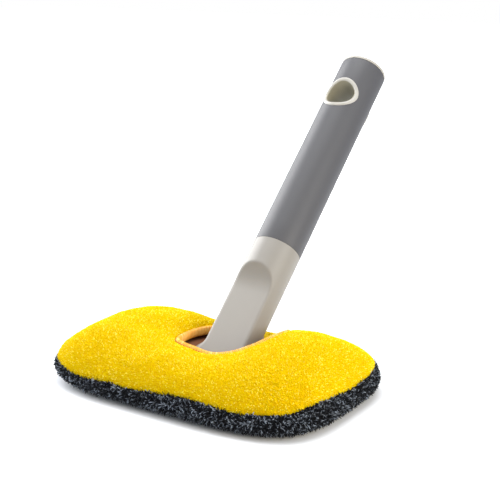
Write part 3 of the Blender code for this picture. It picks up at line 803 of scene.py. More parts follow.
def nap_template(slim):
    """A tuft of plush one unit long: a leaning four-sided leaf."""
    bpy.ops.mesh.primitive_cone_add(vertices=4, radius1=slim, radius2=slim * TUFT_TAPER,
                                    depth=1.0, end_fill_type="NGON",
                                    location=(0, 0, TUFT_MIDDLE))
    piece = added("nap_template")
    start_edit(piece)
    choose(piece, "verts", lambda vert: vert.co.z > TUFT_MIDDLE)
    bpy.ops.transform.translate(value=(TUFT_LEAN, 0, 0))
    end_edit()
    return piece


class SCRUBBER_OT_cover(bpy.types.Operator):
    """Plush top of the cover, swelled by the foam inside, with its nap"""

    bl_idname = "scrubber.cover"
    bl_label = "Plush cover"

    def execute(self, context):
        head, cover = context.scene.scrubber_head, context.scene.scrubber_cover
        rings = cover_rings(head, cover)
        piece = loft("cover_cloth", rings)
        face_up(piece)
        last = (len(rings) - 1) * COVER_FACETS
        held = [*range(2 * COVER_FACETS), *range(last, last + COVER_FACETS)]
        swell(piece, held, cover.pressure, cover.swell)
        subdivide(piece)
        roughen(piece, FOLD_DEPTH, FOLD_SCALE)
        shade(piece)

        def off_the_rim(middles, flat):
            across = (middles[:, 0] - cover.rim_x) / (cover.rim_half_length + cover.nap_height)
            depth = (middles[:, 1] - cover.rim_y) / (cover.rim_half_width + cover.nap_height)
            return np.hypot(across, depth) > 1

        places, facing = surface_samples(piece, cover.nap_count, NAP_PLACES_SEED, off_the_rim)
        give_wall(piece, cover.fabric)
        shade(piece, SEWN)
        # Ground colour: the fabric's yellow, darkened and warmed as painted shade between the
        # tufts
        ground = cloth_finish("yellow ground", cover.ground, dark=(0.74, 0.45, 0.0),
                              scale=1500.0, Specular_IOR_Level=0.1)
        dress(piece, ground, COVER_BODY, ["cover_top"])
        self.add_nap(cover, places, facing)
        return {"FINISHED"}

    def add_nap(self, cover, places, facing):
        # The lightest tufts are painted sparkles: painted highlights on the plush
        plush = tuft_finish("yellow nap", cover.plush, dark=(0.78, 0.52, 0.0),
                            light=(1.0, 0.92, 0.15), light_share=0.16, roughness=0.8,
                            Specular_IOR_Level=0.05)
        template = nap_template(cover.nap_radius / cover.nap_height)
        random = np.random.RandomState(NAP_SHAPES_SEED)
        parts = np.array_split(np.arange(cover.nap_count), NAP_PIECES)
        for number, part in enumerate(parts, 1):
            part = part[random.permutation(len(part))]
            tufts = scattered(f"cover_nap_{number}", template, places[part], facing[part],
                              random, cover.nap_height, least=0.75, spread=0.5, sway=0.28)
            dress(tufts, plush, COVER_BODY)
        bpy.data.objects.remove(template)


# Scrubbing pad
PAD_FACETS = 144
PAD_RING_SHARES = (0.2, 0.4, 0.6, 0.78, 0.92)
PAD_EDGE_RADIUS = 0.0065
# Most of the side's height that the rounded lower edge may take
EDGE_SHARE = 0.65
SIDE_ROWS = 4
BULGE_MIDDLE = math.radians(-15)
# Curls keep this far below the seam
SEAM_CLEAR = 0.0010
# How squarely a face looks down where it counts as the underside
UNDER_FACING = 0.75
UNDER_SEED, SIDE_SEED, CURLS_SEED = 21, 22, 23
CURL_STEPS = 5
CURL_TIP = 0.5
# Bend and twist of each kind of curl
CURLS = ((1.5, 0.8), (2.3, 2.0), (1.0, -1.5))


def pad_point(head, pile, angle, inset):
    """A place on the pad's side, which bulges past the outline, most of all at the right end."""
    bulge = pile.bulge + pile.bulge_right * max(math.cos(angle - BULGE_MIDDLE), 0) ** 2
    return outline_point(head, angle, inset - bulge)


def edge_radius(head, pile, angle):
    """Radius of the pad's lower edge, which is smaller where the side is low."""
    x, y = pad_point(head, pile, angle, 0)
    room = seam_height(head, angle) - underside(head, x) - pile.depth
    return min(PAD_EDGE_RADIUS, EDGE_SHARE * room)


def below_seam(head, points):
    """Which of the places lie clear below the seam."""
    laps = [seam_point(head, angle) for angle in angles(PAD_FACETS)]
    turns = np.array([math.atan2(place.y, place.x - head.shift) for place in laps])
    heights = np.array([place.z for place in laps])
    order = np.argsort(turns)
    wanted = np.arctan2(points[:, 1], points[:, 0] - head.shift)
    seam = np.interp(wanted, turns[order], heights[order], period=2 * math.pi)
    return points[:, 2] < seam - SEAM_CLEAR


def is_under(flat):
    return flat[:, 2] < -UNDER_FACING * np.linalg.norm(flat, axis=1)


def pad_rings(head, pile):
    laps = angles(PAD_FACETS)
    radii = [edge_radius(head, pile, angle) for angle in laps]
    rings = []
    for share in PAD_RING_SHARES:
        ring = []
        for angle, radius in zip(laps, radii):
            x, y = pad_point(head, pile, angle, pile.depth + radius)
            x, y = head.shift + (x - head.shift) * share, y * share
            ring.append(Vector((x, y, underside(head, x) + pile.depth)))
        rings.append(ring)
    for turn in quarter_turns(SIDE_ROWS):
        ring = []
        for angle, radius in zip(laps, radii):
            x, y = pad_point(head, pile, angle, pile.depth + radius * (1 - math.sin(turn)))
            rise = pile.depth + radius * (1 - math.cos(turn))
            ring.append(Vector((x, y, underside(head, x) + rise)))
        rings.append(ring)
    side = rings[-1]
    top = [seam_point(head, angle) - Vector((0, 0, GAP)) for angle in laps]
    for row in range(1, SIDE_ROWS + 1):
        rings.append([low.lerp(high, row / SIDE_ROWS) for low, high in zip(side, top)])
    return rings


def curl_template(slim, bend, twist):
    """A curl of yarn one unit long: a three-sided finger that bends over and twists."""
    bpy.ops.mesh.primitive_circle_add(vertices=3, radius=slim, fill_type="NGON")
    piece = added("curl_template")
    start_edit(piece, "FACE", "SELECT")
    for step in range(CURL_STEPS):
        turn = bend * (step + 0.5) / CURL_STEPS
        swing = twist * step / CURL_STEPS
        move = Vector((math.sin(turn) * math.cos(swing), math.sin(turn) * math.sin(swing),
                       math.cos(turn))) / CURL_STEPS
        bpy.ops.mesh.extrude_region_move(TRANSFORM_OT_translate={"value": move})
    bpy.ops.transform.resize(value=(CURL_TIP, CURL_TIP, CURL_TIP))
    end_edit()
    return piece


def put_on_floor(piece):
    """Flattens what would reach below the floor."""
    points = rows_of(piece.data.vertices, "co")
    points[:, 2] = np.maximum(points[:, 2], 0)
    piece.data.vertices.foreach_set("co", points.reshape(-1))
    piece.data.update()


class SCRUBBER_OT_pad(bpy.types.Operator):
    """Dark scrubbing pad with its curly pile"""

    bl_idname = "scrubber.pad"
    bl_label = "Scrubbing pad"

    def execute(self, context):
        head, pile = context.scene.scrubber_head, context.scene.scrubber_pile
        piece = loft("pad_backing", pad_rings(head, pile), fan=True)
        face_up(piece, -1)
        subdivide(piece)
        shade(piece)
        under = surface_samples(piece, pile.under_count, UNDER_SEED,
                                lambda middles, flat: is_under(flat))
        side = surface_samples(piece, pile.side_count, SIDE_SEED, lambda middles, flat: (
            below_seam(head, middles) & ~is_under(flat)))
        give_wall(piece, pile.wall)
        shade(piece, MOULDED)
        backing = cloth_finish("dark backing", pile.backing, dark=(0.004, 0.005, 0.007),
                               scale=900.0, Specular_IOR_Level=0.1)
        dress(piece, backing, COVER_BODY, ["scrub_pad"])
        self.add_pile(pile, side, under)
        return {"FINISHED"}

    def add_pile(self, pile, side, under):
        # The lightest curls are painted blue-grey glints: painted highlights on the pile
        yarn = tuft_finish("dark yarn", pile.yarn, dark=(0.001, 0.001, 0.002),
                           light=(0.42, 0.48, 0.57), light_share=0.28, roughness=0.55,
                           Specular_IOR_Level=0.15)
        templates = [curl_template(pile.curl_radius / pile.depth, *curl) for curl in CURLS]
        random = np.random.RandomState(CURLS_SEED)
        for label, (places, facing) in (("side", side), ("under", under)):
            parts = np.array_split(random.permutation(len(places)), len(templates))
            for number, (template, part) in enumerate(zip(templates, parts), 1):
                curls = scattered(f"pile_{label}_{number}", template, places[part], facing[part],
                                  random, pile.depth, least=0.9, spread=0.55, sway=0.35)
                put_on_floor(curls)
                dress(curls, yarn, COVER_BODY)
        for template in templates:
            bpy.data.objects.remove(template)


# Opening
# Behind the handle the binding narrows, and at the front right it sits deepest in the plush
NARROW_MIDDLE = math.radians(75)
NARROW_POWER = 5
SUNK_MIDDLE = math.radians(-10)
RIM_STEPS = 720
BAND_RINGS, BAND_SIDES = 240, 16
BAND_WEAVE = 300.0
ELASTIC_RINGS, ELASTIC_SIDES = 160, 10
ELASTIC_WEAVE = 500.0
WRAP_RINGS, WRAP_SIDES = 16, 5
WRAP_SLANT, WRAPS_SEED = 0.35, 31
DASH_SEGMENTS, DASH_RINGS = 8, 6
DASH_SLANT, DASHES_SEED = 0.5, 32
# Share of the band's half height at which the stitches lie, and half the size of one
DASH_LIFT = 0.5
DASH_SIZE = (0.00042, 0.00075, 0.00042)


def rim_frame(cover, binding, angle):
    """Middle of the binding at an angle, with the directions out from the hole, along and up."""
    normal = Vector((math.cos(angle) / cover.rim_half_length,
                     math.sin(angle) / cover.rim_half_width, 0)).normalized()
    step = math.pi / COVER_FACETS
    along = (rim_point(cover, angle + step) - rim_point(cover, angle - step)).normalized()
    out = (normal - along * along.dot(normal)).normalized()
    up = out.cross(along)
    if up.z < 0:
        up = -up
    share = 1 - binding.narrow * max(math.cos(angle - NARROW_MIDDLE), 0) ** NARROW_POWER
    sunk = binding.sunk * (1 + math.cos(angle - SUNK_MIDDLE)) / 2
    middle = rim_point(cover, angle) - out * binding.thickness + up * (GAP - sunk)
    return middle, out, along, up * share


def hoop(name, cover, binding, width, thickness, rings, sides):
    """A hoop round the opening, with an oval section: a torus of unit size moved on to it."""
    bpy.ops.mesh.primitive_torus_add(major_segments=rings, minor_segments=sides,
                                     major_radius=1.0, minor_radius=0.25)
    piece = added(name)

    def on_rim(place):
        angle = math.atan2(place.y, place.x)
        turn = math.atan2(place.z, place.xy.length - 1.0)
        middle, out, along, up = rim_frame(cover, binding, angle)
        return middle + out * thickness * math.cos(turn) + up * width * math.sin(turn)

    move_points(piece, on_rim)
    point_outward(piece)
    shade(piece)
    return piece


def rim_stations(cover, count):
    """Angles of places evenly spread round the opening."""
    fine = angles(RIM_STEPS)
    points = [rim_point(cover, angle) for angle in fine]
    reach = running_lengths(points + points[:1])
    wanted = np.arange(count) / count * reach[-1]
    return np.interp(wanted, reach, [*fine, 2 * math.pi])


def sewn_row(name, template, count, scales, slant, seed, reach=0.0, lift=0.0):
    """Slanted copies of a thread all round the opening, out from the band's middle and up it."""
    scene = bpy.context.scene
    cover, binding = scene.scrubber_cover, scene.scrubber_binding
    places, axes = [], []
    for angle in rim_stations(cover, count):
        middle, out, along, up = rim_frame(cover, binding, angle)
        places.append(middle + out * reach + up * binding.width * lift)
        axes.append((out, along + up * slant, up - along * slant))
    axes = [np.array(axis) for axis in zip(*axes)]
    tones = np.random.RandomState(seed).rand(count)
    row = copies(name, template, np.array(places), axes, np.array([scales]), tones)
    bpy.data.objects.remove(template)
    return row


class SCRUBBER_OT_binding(bpy.types.Operator):
    """Orange binding round the opening, with its elastic, overlock threads and stitches"""

    bl_idname = "scrubber.binding"
    bl_label = "Opening's binding"

    def execute(self, context):
        cover, binding = context.scene.scrubber_cover, context.scene.scrubber_binding
        band = hoop("binding_band", cover, binding, binding.width, binding.thickness,
                    BAND_RINGS, BAND_SIDES)
        roughen(band, binding.thread / 2, BAND_WEAVE)
        cloth = cloth_finish("orange band", binding.band, dark=(0.98, 0.54, 0.12),
                             scale=1800.0, roughness=0.8)
        dress(band, cloth, COVER_BODY, ["opening_binding"])
        cord = hoop("elastic_cord", cover, binding, binding.thickness - binding.thread,
                    binding.thickness / 2, ELASTIC_RINGS, ELASTIC_SIDES)
        roughen(cord, binding.thread / 4, ELASTIC_WEAVE)
        elastic = cloth_finish("elastic", binding.elastic, dark=(0.58, 0.55, 0.48),
                               scale=900.0, roughness=0.7)
        dress(cord, elastic, COVER_BODY, ["opening_elastic"])
        self.add_threads(binding)
        self.add_stitches(binding)
        return {"FINISHED"}

    def add_threads(self, binding):
        bpy.ops.mesh.primitive_torus_add(
            major_segments=WRAP_RINGS, minor_segments=WRAP_SIDES, major_radius=1.0,
            minor_radius=binding.thread / binding.width, rotation=(math.pi / 2, 0, 0))
        width, thickness = (size + binding.thread / 2
                            for size in (binding.width, binding.thickness))
        threads = sewn_row("binding_threads", added("wrap_template"), binding.wrap_count,
                           (thickness, width, width), WRAP_SLANT, WRAPS_SEED)
        # The lightest threads are painted glints: painted highlights on the overlock
        overlock = tuft_finish("orange thread", binding.overlock, dark=(0.90, 0.42, 0.05),
                               light=(1.0, 0.80, 0.32), light_share=0.15, roughness=0.7,
                               Specular_IOR_Level=0.1)
        dress(threads, overlock, COVER_BODY)

    def add_stitches(self, binding):
        bpy.ops.mesh.primitive_uv_sphere_add(segments=DASH_SEGMENTS, ring_count=DASH_RINGS,
                                             radius=1.0)
        reach = binding.thickness * math.sqrt(1 - DASH_LIFT ** 2) + binding.thread
        dashes = sewn_row("binding_stitches", added("stitch_template"), binding.dash_count,
                          DASH_SIZE, DASH_SLANT, DASHES_SEED, reach, DASH_LIFT)
        # The lightest stitches are painted glints: painted highlights on the thread
        stitch = tuft_finish("dark orange thread", binding.stitch, dark=(0.62, 0.19, 0.01),
                             light=(0.92, 0.46, 0.08), light_share=0.1, roughness=0.6)
        dress(dashes, stitch, COVER_BODY)


# Inside of the cover and of the head
FOAM_VOXEL = 0.0016
FOAM_SMOOTHING = 3
FOAM_PORE = 0.00018
FOAM_PORE_SCALE = 900.0
FOAM_SLACK = 0.0004
FOAM_ROWS = 22
# Where the plate's top starts to fall towards the back, and how steeply it falls
PLATE_FALL_START = 0.0405
PLATE_FALL = 0.22
ALLOWANCE_RISE = 0.0016
ALLOWANCE_INSETS = (0.0020, 0.0058)


class SCRUBBER_OT_inside(bpy.types.Operator):
    """Foam, seam allowance, plate and screws inside the cover"""

    bl_idname = "scrubber.inside"
    bl_label = "Foam and plate"

    def execute(self, context):
        scene = context.scene
        head, cover, inside = scene.scrubber_head, scene.scrubber_cover, scene.scrubber_inside
        # The foam's dark brown colour is painted shade and warm bounce light inside the opening
        foam = cloth_finish("open foam", inside.foam, dark=(0.10, 0.055, 0.03), scale=700.0,
                            bump=0.8, Specular_IOR_Level=0.1)
        for node, piece in (("foam_base", self.foam_block("foam_base")),
                            ("foam_crown", self.foam_ring(head, cover))):
            dress(piece, foam, HEAD_BODY, [node])
        thread = cloth_finish("seam thread", inside.seam, dark=(0.52, 0.26, 0.04), scale=1600.0)
        dress(self.allowance(head), thread, COVER_BODY, ["seam_allowance"])
        steel = moulded_finish("screw steel", inside.steel, dark=(0.50, 0.50, 0.52),
                               roughness=0.35, Metallic=1.0)
        for node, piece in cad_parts.items():
            if node.startswith("plate_screw"):
                piece.data.materials.clear()
                piece.data.materials.append(steel)
        # Plate colour: painted shade and warm bounce light on a pale grey plastic plate
        plate = moulded_finish("plate plastic", inside.plate, dark=(0.13, 0.05, 0.025),
                               roughness=0.8, Specular_IOR_Level=0.1)
        dress(self.thinned_plate(), plate, HEAD_BODY, ["base_plate"])
        return {"FINISHED"}

    def thinned_plate(self):
        """The plate, whose top falls towards its back edge, where the cover lies low."""
        piece = linked("plate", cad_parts["base_plate"].data.copy())
        middle = (PLATE_LOW.z + PLATE_HIGH.z) / 2
        for vert in piece.data.vertices:
            if vert.co.z > middle:
                vert.co.z -= PLATE_FALL * max(vert.co.y - PLATE_FALL_START, 0)
        piece.data.update()
        shade(piece, CRISP)
        return piece

    def foam_block(self, node):
        """The foam under the plate, with rounded edges and an uneven, porous surface."""
        piece = linked(node + "_block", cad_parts[node].data.copy())
        merge_doubles(piece)
        modify(piece, "REMESH", mode="VOXEL", voxel_size=FOAM_VOXEL)
        modify(piece, "SMOOTH", iterations=FOAM_SMOOTHING)
        roughen(piece, FOAM_PORE, FOAM_PORE_SCALE)
        shade(piece)
        return piece

    def foam_ring(self, head, cover):
        """The foam round the handle's foot: what fits between the cover and the plate."""
        shell = loft("foam_shell", cover_rings(head, cover)[1:])
        face_up(shell)
        depth = cover.fabric + cover.swell + FOAM_SLACK
        sunk = [vert.co - vert.normal * depth for vert in shell.data.vertices]
        bpy.data.objects.remove(shell)
        foot = PLATE_HIGH.z + GAP
        columns = []
        for i in range(COVER_FACETS):
            column = even_points(cut_below(sunk[i::COVER_FACETS], foot), FOAM_ROWS)
            columns.append([*column, Vector((*column[-1].xy, foot))])
        rings = list(zip(*columns))
        piece = loft("foam_ring", [*rings, rings[0]])
        merge_doubles(piece)
        point_outward(piece)
        subdivide(piece)
        roughen(piece, FOAM_PORE, FOAM_PORE_SCALE)
        shade(piece, SEWN)
        return piece

    def allowance(self, head):
        """The turned-in edges of both panels, a flat ring inside the seam."""
        low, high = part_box("seam_allowance")
        most = min((high.z - low.z) / 2, ALLOWANCE_RISE)
        outer, inner = ALLOWANCE_INSETS
        rings = [[seam_point(head, angle, inset) + Vector((0, 0, rise))
                  for angle in angles(PAD_FACETS)]
                 for inset, rise in ((outer, GAP), (outer, most), (inner, most), (inner, GAP))]
        piece = loft("allowance", [*rings, rings[0]])
        merge_doubles(piece)
        subdivide(piece)
        point_outward(piece)
        shade(piece, SEWN)
        return piece


# Handle
NECK_FACETS, NECK_CUTS = 176, (11, 9)
SLEEVE_FACETS, SLEEVE_CUTS = 192, (9,)
BUSH_FACETS, BUSH_CUTS = 144, (3,)
BEAD_SIDES = 20
CUTTER_FACETS = 128
CAP_FACETS = 144
ROUND_STEPS = 4
SLEEVE_TOP_ROUND = 0.0006
SLEEVE_FOOT_ROUND = 0.00025
# Share of the neck's rows that the flare takes
FLARE_SHARE = 0.2
# How deep the beads sit in the grip, and how many times further they reach in than out
BEAD_SUNK = 0.00040
BEAD_ROLL = 2.2
CAP_STEP_IN = 0.0001
CAP_ROUND = 0.0005
CAP_DISH = 0.0004
CAP_RIM = 0.0022
CAP_PLUG = 0.0080


def lean(piece):
    """Turns a piece modelled upright round the handle's axis into the handle's real place."""
    handle = bpy.context.scene.scrubber_handle
    turn = Matrix.Rotation(handle.slope - math.pi / 2, 4, "X")
    seat = Matrix.Translation((handle.seat_x, handle.seat_y, PLATE_HIGH.z))
    piece.data.transform(seat @ turn)


def eyelet_height(handle):
    return handle.neck + handle.sleeve - handle.eyelet_from_end


def cut_eyelet(piece, handle):
    bpy.ops.mesh.primitive_cylinder_add(
        vertices=CUTTER_FACETS, radius=handle.eyelet_radius - GAP, depth=3 * handle.radius,
        rotation=(math.pi / 2, 0, 0), location=(0, 0, eyelet_height(handle)))
    cut_away(piece, added("eyelet_cutter"))


def soft_least(first, second, blend):
    """The smaller of two lengths, with a rounded change from one to the other."""
    share = min(max(0.5 + 0.5 * (second - first) / blend, 0), 1)
    return second + (first - second) * share - blend * share * (1 - share)


def flat_distance(handle, height):
    """Distance of the thumb flat from the axis, which grows along the scoop's upper arc."""
    fall = handle.radius - handle.flat
    arc_turn = math.acos(1 - fall / handle.scoop_arc)
    arc_start = handle.scoop - handle.scoop_arc * math.sin(arc_turn)
    past = (height - arc_start) / handle.scoop_arc
    if past <= 0:
        return handle.flat
    if past >= 1:
        return 2 * handle.radius
    return handle.flat + handle.scoop_arc * (1 - math.sqrt(1 - past * past))


def neck_section(handle, turn, height):
    facing = math.cos(turn)
    reach = handle.radius
    if facing > MERGE:
        reach = soft_least(reach, flat_distance(handle, height) / facing, handle.scoop_edge)
    return reach * math.sin(turn), -reach * facing


def neck_point(handle, turn, level):
    """Place on the neck: from its foot on the plate at level 0 to the sleeve at level 1."""
    cosine, sine = math.cos(handle.slope), math.sin(handle.slope)
    x, y = neck_section(handle, turn, 0)
    foot = y * cosine / sine
    if level >= FLARE_SHARE:
        low = foot + handle.flare_rise
        height = low + (handle.neck - low) * (level - FLARE_SHARE) / (1 - FLARE_SHARE)
        return Vector((*neck_section(handle, turn, height), height))
    high = Vector((x, y, foot + handle.flare_rise))
    footprint = Vector((x, y / sine))
    middle = Vector((0, (handle.radius - handle.flat) / sine / 2))
    sideways = (footprint - middle).normalized().x
    spread = footprint + Vector((sideways * handle.flare_reach, 0))
    low = Vector((spread.x, spread.y * sine, spread.y * cosine))
    corner = Vector((x, y, foot)).lerp((high + low) / 2, handle.flare_chamfer)
    t = 1 - level / FLARE_SHARE
    return high * (1 - t) ** 2 + corner * 2 * t * (1 - t) + low * t ** 2


def ringed_tube(name, facets, radius, low, high, cuts):
    """An open upright tube whose sides are cut into rings."""
    bpy.ops.mesh.primitive_cylinder_add(vertices=facets, radius=radius, depth=high - low,
                                        end_fill_type="NOTHING",
                                        location=(0, 0, (low + high) / 2))
    piece = added(name)
    start_edit(piece, "EDGE")
    for count in cuts:
        choose(piece, "edges", is_upright)
        bpy.ops.mesh.subdivide(number_cuts=count)
    end_edit()
    return piece


def step_in(radius_share, rise):
    """Extrudes the chosen ring: to a share of its size, and up or down."""
    bpy.ops.mesh.extrude_region_move()
    bpy.ops.transform.resize(value=(radius_share, radius_share, 1), center_override=(0, 0, 0))
    bpy.ops.transform.translate(value=(0, 0, rise))


class SCRUBBER_OT_handle_core(bpy.types.Operator):
    """Pale handle with its thumb scoop and the foot that flares on to the plate"""

    bl_idname = "scrubber.handle_core"
    bl_label = "Handle core"

    def execute(self, context):
        handle = context.scene.scrubber_handle
        piece = ringed_tube("handle_neck", NECK_FACETS, handle.radius, 0, handle.neck, NECK_CUTS)
        move_points(piece, lambda place: neck_point(
            handle, math.atan2(place.x, -place.y), min(max(place.z / handle.neck, 0), 1)))
        seat_radius = handle.radius - handle.sleeve_wall
        start_edit(piece, "EDGE")
        choose(piece, "edges", edge_at(handle.neck))
        step_in(seat_radius / handle.radius, 0)
        step_in(1, handle.sleeve)
        step_in(1 - handle.core_wall / seat_radius, 0)
        step_in(1, handle.core_wall - handle.sleeve)
        bpy.ops.mesh.edge_face_add()
        choose(piece, "edges", lambda edge: edge.is_boundary)
        bpy.ops.mesh.edge_face_add()
        end_edit()
        point_outward(piece)
        cut_eyelet(piece, handle)
        lean(piece)
        shade(piece, MOULDED)
        plastic = moulded_finish("satin pale plastic", handle.core_plastic,
                                 dark=(0.250, 0.235, 0.215), roughness=0.42, scale=1400.0,
                                 bump=0.04)
        dress(piece, plastic, HEAD_BODY, ["handle_core"])
        return {"FINISHED"}


class SCRUBBER_OT_grip_sleeve(bpy.types.Operator):
    """Grey soft-touch sleeve of the grip"""

    bl_idname = "scrubber.grip_sleeve"
    bl_label = "Grip sleeve"

    def execute(self, context):
        handle = context.scene.scrubber_handle
        low, high = handle.neck + GAP / 2, handle.neck + handle.sleeve
        piece = ringed_tube("sleeve", SLEEVE_FACETS, handle.radius, low, high, SLEEVE_CUTS)
        give_wall(piece, handle.sleeve_wall - GAP)
        middle = handle.radius - handle.sleeve_wall / 2
        start_edit(piece, "EDGE")
        for height, width in ((high, SLEEVE_TOP_ROUND), (low, SLEEVE_FOOT_ROUND)):
            choose(piece, "edges", lambda edge: edge_at(height)(edge) and all(
                vert.co.xy.length > middle for vert in edge.verts))
            bpy.ops.mesh.bevel(offset=width, segments=ROUND_STEPS, affect="EDGES")
        end_edit()
        point_outward(piece)
        cut_eyelet(piece, handle)
        lean(piece)
        shade(piece, MOULDED)
        rubber = moulded_finish("soft grey rubber", handle.rubber,
                                dark=(0.0680, 0.0675, 0.0745), roughness=0.50, scale=2200.0)
        dress(piece, rubber, HEAD_BODY, ["grip_sleeve"])
        return {"FINISHED"}


class SCRUBBER_OT_hanging_eyelet(bpy.types.Operator):
    """Pale bush of the hanging hole, with a bead round each mouth"""

    bl_idname = "scrubber.hanging_eyelet"
    bl_label = "Hanging hole's bush"

    def execute(self, context):
        handle = context.scene.scrubber_handle
        height = eyelet_height(handle)
        path = (handle.eyelet_radius + handle.eyelet_bore) / 2
        bead = (handle.eyelet_radius - handle.eyelet_bore) / 2

        def surface(across):
            return math.sqrt((handle.radius - BEAD_SUNK) ** 2 - across ** 2)

        beads = []
        for side in (-1, 1):
            bpy.ops.mesh.primitive_torus_add(
                major_segments=BUSH_FACETS, minor_segments=BEAD_SIDES, major_radius=path,
                minor_radius=bead, rotation=(math.pi / 2, 0, 0))
            beads.append(added("bead"))

            def on_handle(place):
                rise = place.y * side
                depth = surface(path * math.cos(math.atan2(place.z, place.x)))
                return Vector((place.x, side * (depth + rise * (1 if rise > 0 else BEAD_ROLL)),
                               place.z + height))

            move_points(beads[-1], on_handle)
        lining = ringed_tube("bush", BUSH_FACETS, handle.eyelet_bore, -1, 1, BUSH_CUTS)
        move_points(lining, lambda place: Vector((
            place.x, place.z * surface(place.x), place.y + height)))
        point_outward(lining)
        give_wall(lining, bead, offset=1)
        point_outward(lining)
        pick(beads[0])
        beads[1].select_set(True)
        bpy.ops.object.join()
        for piece in (beads[0], lining):
            lean(piece)
            shade(piece, BEADED)
        cream = moulded_finish("cream plastic", handle.bush, dark=(0.41, 0.395, 0.36),
                               roughness=0.38)
        dress(beads[0], cream, HEAD_BODY, ["hanging_eyelet"])
        # The lining is darker than the beads: painted shade on the hole's inner wall
        shaded = moulded_finish("shaded lining", handle.lining, dark=(0.26, 0.24, 0.18),
                                roughness=0.45)
        dress(lining, shaded, HEAD_BODY)
        return {"FINISHED"}


class SCRUBBER_OT_end_cap(bpy.types.Operator):
    """Cap that closes the handle's end, with a shallow dish in its face"""

    bl_idname = "scrubber.end_cap"
    bl_label = "End cap"

    def execute(self, context):
        handle = context.scene.scrubber_handle
        low = handle.neck + handle.sleeve + GAP / 2
        high = low + handle.cap
        lip = handle.radius - CAP_STEP_IN
        plug = handle.radius - handle.sleeve_wall - handle.core_wall - GAP
        bpy.ops.mesh.primitive_cylinder_add(vertices=CAP_FACETS, radius=lip, depth=handle.cap,
                                            location=(0, 0, (low + high) / 2))
        piece = added("cap")
        start_edit(piece, "FACE")
        choose(piece, "faces", lambda face: face.normal.z > 0.5)
        bpy.ops.mesh.inset(thickness=CAP_RIM)
        bpy.ops.mesh.inset(thickness=2 * CAP_DISH, depth=-CAP_DISH)
        choose(piece, "faces", lambda face: face.normal.z < -0.5)
        bpy.ops.mesh.inset(thickness=lip - plug)
        bpy.ops.mesh.extrude_region_move(TRANSFORM_OT_translate={"value": (0, 0, -CAP_PLUG)})
        bpy.ops.mesh.select_mode(type="EDGE")
        choose(piece, "edges", lambda edge: (
            edge_at(high)(edge) and edge.verts[0].co.xy.length > lip - MERGE))
        bpy.ops.mesh.bevel(offset=CAP_ROUND, segments=ROUND_STEPS, affect="EDGES")
        end_edit()
        lean(piece)
        shade(piece, CRISP)
        plastic = moulded_finish("cap plastic", handle.cap_plastic, dark=(0.38, 0.36, 0.32),
                                 roughness=0.40)
        dress(piece, plastic, HEAD_BODY, ["end_cap"])
        return {"FINISHED"}


# Stage
SENSOR_WIDTH = 36.0
NEAREST_SEEN = 0.01
# Name, place, aim, size, power and colour of each lamp
LAMPS = (
    ("left softbox", (-0.88, 0.14, 0.44), (0, 0.05, 0.08), (0.8, 0.9), 13.4, WHITE),
    ("near left softbox", (-0.78, -0.38, 0.50), (0, 0.10, 0.14), (0.5, 0.8), 3.1, WHITE),
    ("top softbox", (-0.05, 0.20, 1.15), (0, 0, 0), (0.9, 0.9), 10.2, WHITE),
    ("right softbox", (0.80, 0.10, 0.45), (0, 0.05, 0.08), (0.3, 0.8), 3.0, WHITE),
    ("low card", (0.50, -0.16, 0.20), (0, 0.02, 0.04), (0.25, 0.18), 1.2, (1.0, 0.86, 0.62)))


def add_lamp(name, place, aim, size, power, color):
    light = bpy.data.lights.new(name, "AREA")
    light.shape = "RECTANGLE"
    light.size, light.size_y = size
    light.energy = power
    light.color = color
    lamp = linked(name, light)
    lamp.location = place
    lamp.rotation_euler = (Vector(aim) - Vector(place)).to_track_quat("-Z", "Y").to_euler()


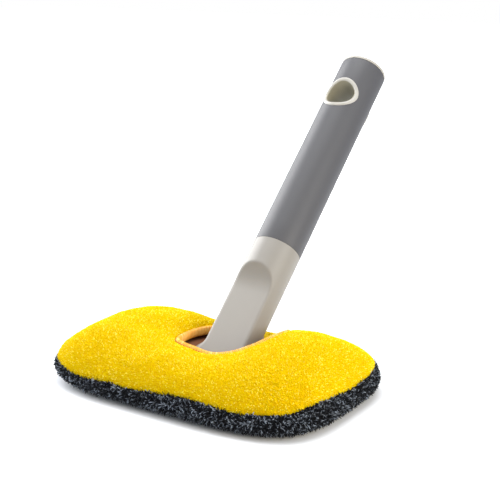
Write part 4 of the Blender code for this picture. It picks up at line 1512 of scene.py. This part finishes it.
class SCRUBBER_OT_stage(bpy.types.Operator):
    """Floor, white surroundings, lamps and the camera at the photograph's angle"""

    bl_idname = "scrubber.stage"
    bl_label = "Stage"

    def execute(self, context):
        studio = context.scene.scrubber_studio
        self.add_floor(studio)
        self.add_surroundings(context.scene, studio)
        for lamp in LAMPS:
            add_lamp(*lamp)
        lens = bpy.data.cameras.new("camera")
        lens.sensor_width = SENSOR_WIDTH
        lens.lens = studio.focal
        lens.clip_start = NEAREST_SEEN
        camera = linked("camera", lens)
        camera.location = studio.camera
        camera.rotation_euler = (math.pi / 2 - studio.elevation, 0, studio.azimuth)
        context.scene.camera = camera
        context.scene.view_settings.view_transform = "Standard"
        return {"FINISHED"}

    def add_floor(self, studio):
        """The floor, which turns plain white to the camera away from the scrubber's shadow."""
        bpy.ops.mesh.primitive_plane_add(size=studio.floor)
        floor = added("floor")
        paint, tree, shader = new_finish("white floor", 0.9, {
            "Base Color": rgba(studio.paint), "Specular IOR Level": 0.05,
            "Emission Strength": 1.0})
        place = wired(tree, "TexCoord", "Object")
        distance = wired(tree, "VectorMath", "Value", {0: place}, operation="LENGTH")
        glow = wired(tree, "MapRange", "Result", {
            "Value": distance, "From Min": studio.shadow_reach, "From Max": studio.white_reach})
        seen = wired(tree, "LightPath", "Is Camera Ray")
        glow_seen = wired(tree, "Math", "Value", {0: glow, 1: seen}, operation="MULTIPLY")
        tree.links.new(glow_seen, shader["Emission Color"])
        floor.data.materials.append(paint)

    def add_surroundings(self, scene, studio):
        """Surroundings that are plain white to the camera, and a cool light on the scrubber."""
        world = bpy.data.worlds.new("white surroundings")
        world.use_nodes = True
        tree = world.node_tree
        background = tree.nodes["Background"].inputs
        seen = wired(tree, "LightPath", "Is Camera Ray")
        strength = wired(tree, "MapRange", "Result", {
            "Value": seen, "To Min": studio.daylight, "To Max": 1.0})
        tint = wired(tree, "Mix", "Result", {"Factor": seen, "A": rgba(studio.sky),
                                             "B": rgba(WHITE)}, data_type="RGBA")
        tree.links.new(strength, background["Strength"])
        tree.links.new(tint, background["Color"])
        scene.world = world


SETTINGS = (("scrubber_head", HeadSettings), ("scrubber_cover", CoverSettings),
            ("scrubber_pile", PileSettings), ("scrubber_binding", BindingSettings),
            ("scrubber_inside", InsideSettings), ("scrubber_handle", HandleSettings),
            ("scrubber_studio", StudioSettings))
OPERATORS = (SCRUBBER_OT_stage, SCRUBBER_OT_cover, SCRUBBER_OT_pad, SCRUBBER_OT_binding,
             SCRUBBER_OT_inside, SCRUBBER_OT_handle_core, SCRUBBER_OT_grip_sleeve,
             SCRUBBER_OT_hanging_eyelet, SCRUBBER_OT_end_cap)


class SCRUBBER_PT_panel(bpy.types.Panel):
    """Lists the scrubber's settings and pieces"""

    bl_idname = "SCRUBBER_PT_panel"
    bl_label = "Bath scrubber"
    bl_space_type = "VIEW_3D"
    bl_region_type = "UI"
    bl_category = "Scrubber"

    def draw(self, context):
        layout = self.layout
        for name, group in SETTINGS:
            box = layout.box()
            box.label(text=group.__doc__)
            for field in group.__annotations__:
                box.prop(getattr(context.scene, name), field)
        for operator in OPERATORS:
            layout.operator(operator.bl_idname)


def register():
    for name, group in SETTINGS:
        bpy.utils.register_class(group)
        setattr(bpy.types.Scene, name, PointerProperty(type=group))
    for operator in OPERATORS:
        bpy.utils.register_class(operator)
    bpy.utils.register_class(SCRUBBER_PT_panel)


def unregister():
    bpy.utils.unregister_class(SCRUBBER_PT_panel)
    for operator in reversed(OPERATORS):
        bpy.utils.unregister_class(operator)
    for name, group in reversed(SETTINGS):
        delattr(bpy.types.Scene, name)
        bpy.utils.unregister_class(group)


def main():
    register()
    deselect_all()
    bpy.ops.scrubber.stage()
    bpy.ops.scrubber.cover()
    bpy.ops.scrubber.pad()
    bpy.ops.scrubber.binding()
    bpy.ops.scrubber.inside()
    bpy.ops.scrubber.handle_core()
    bpy.ops.scrubber.grip_sleeve()
    bpy.ops.scrubber.hanging_eyelet()
    bpy.ops.scrubber.end_cap()


if __name__ == "__main__":
    main()
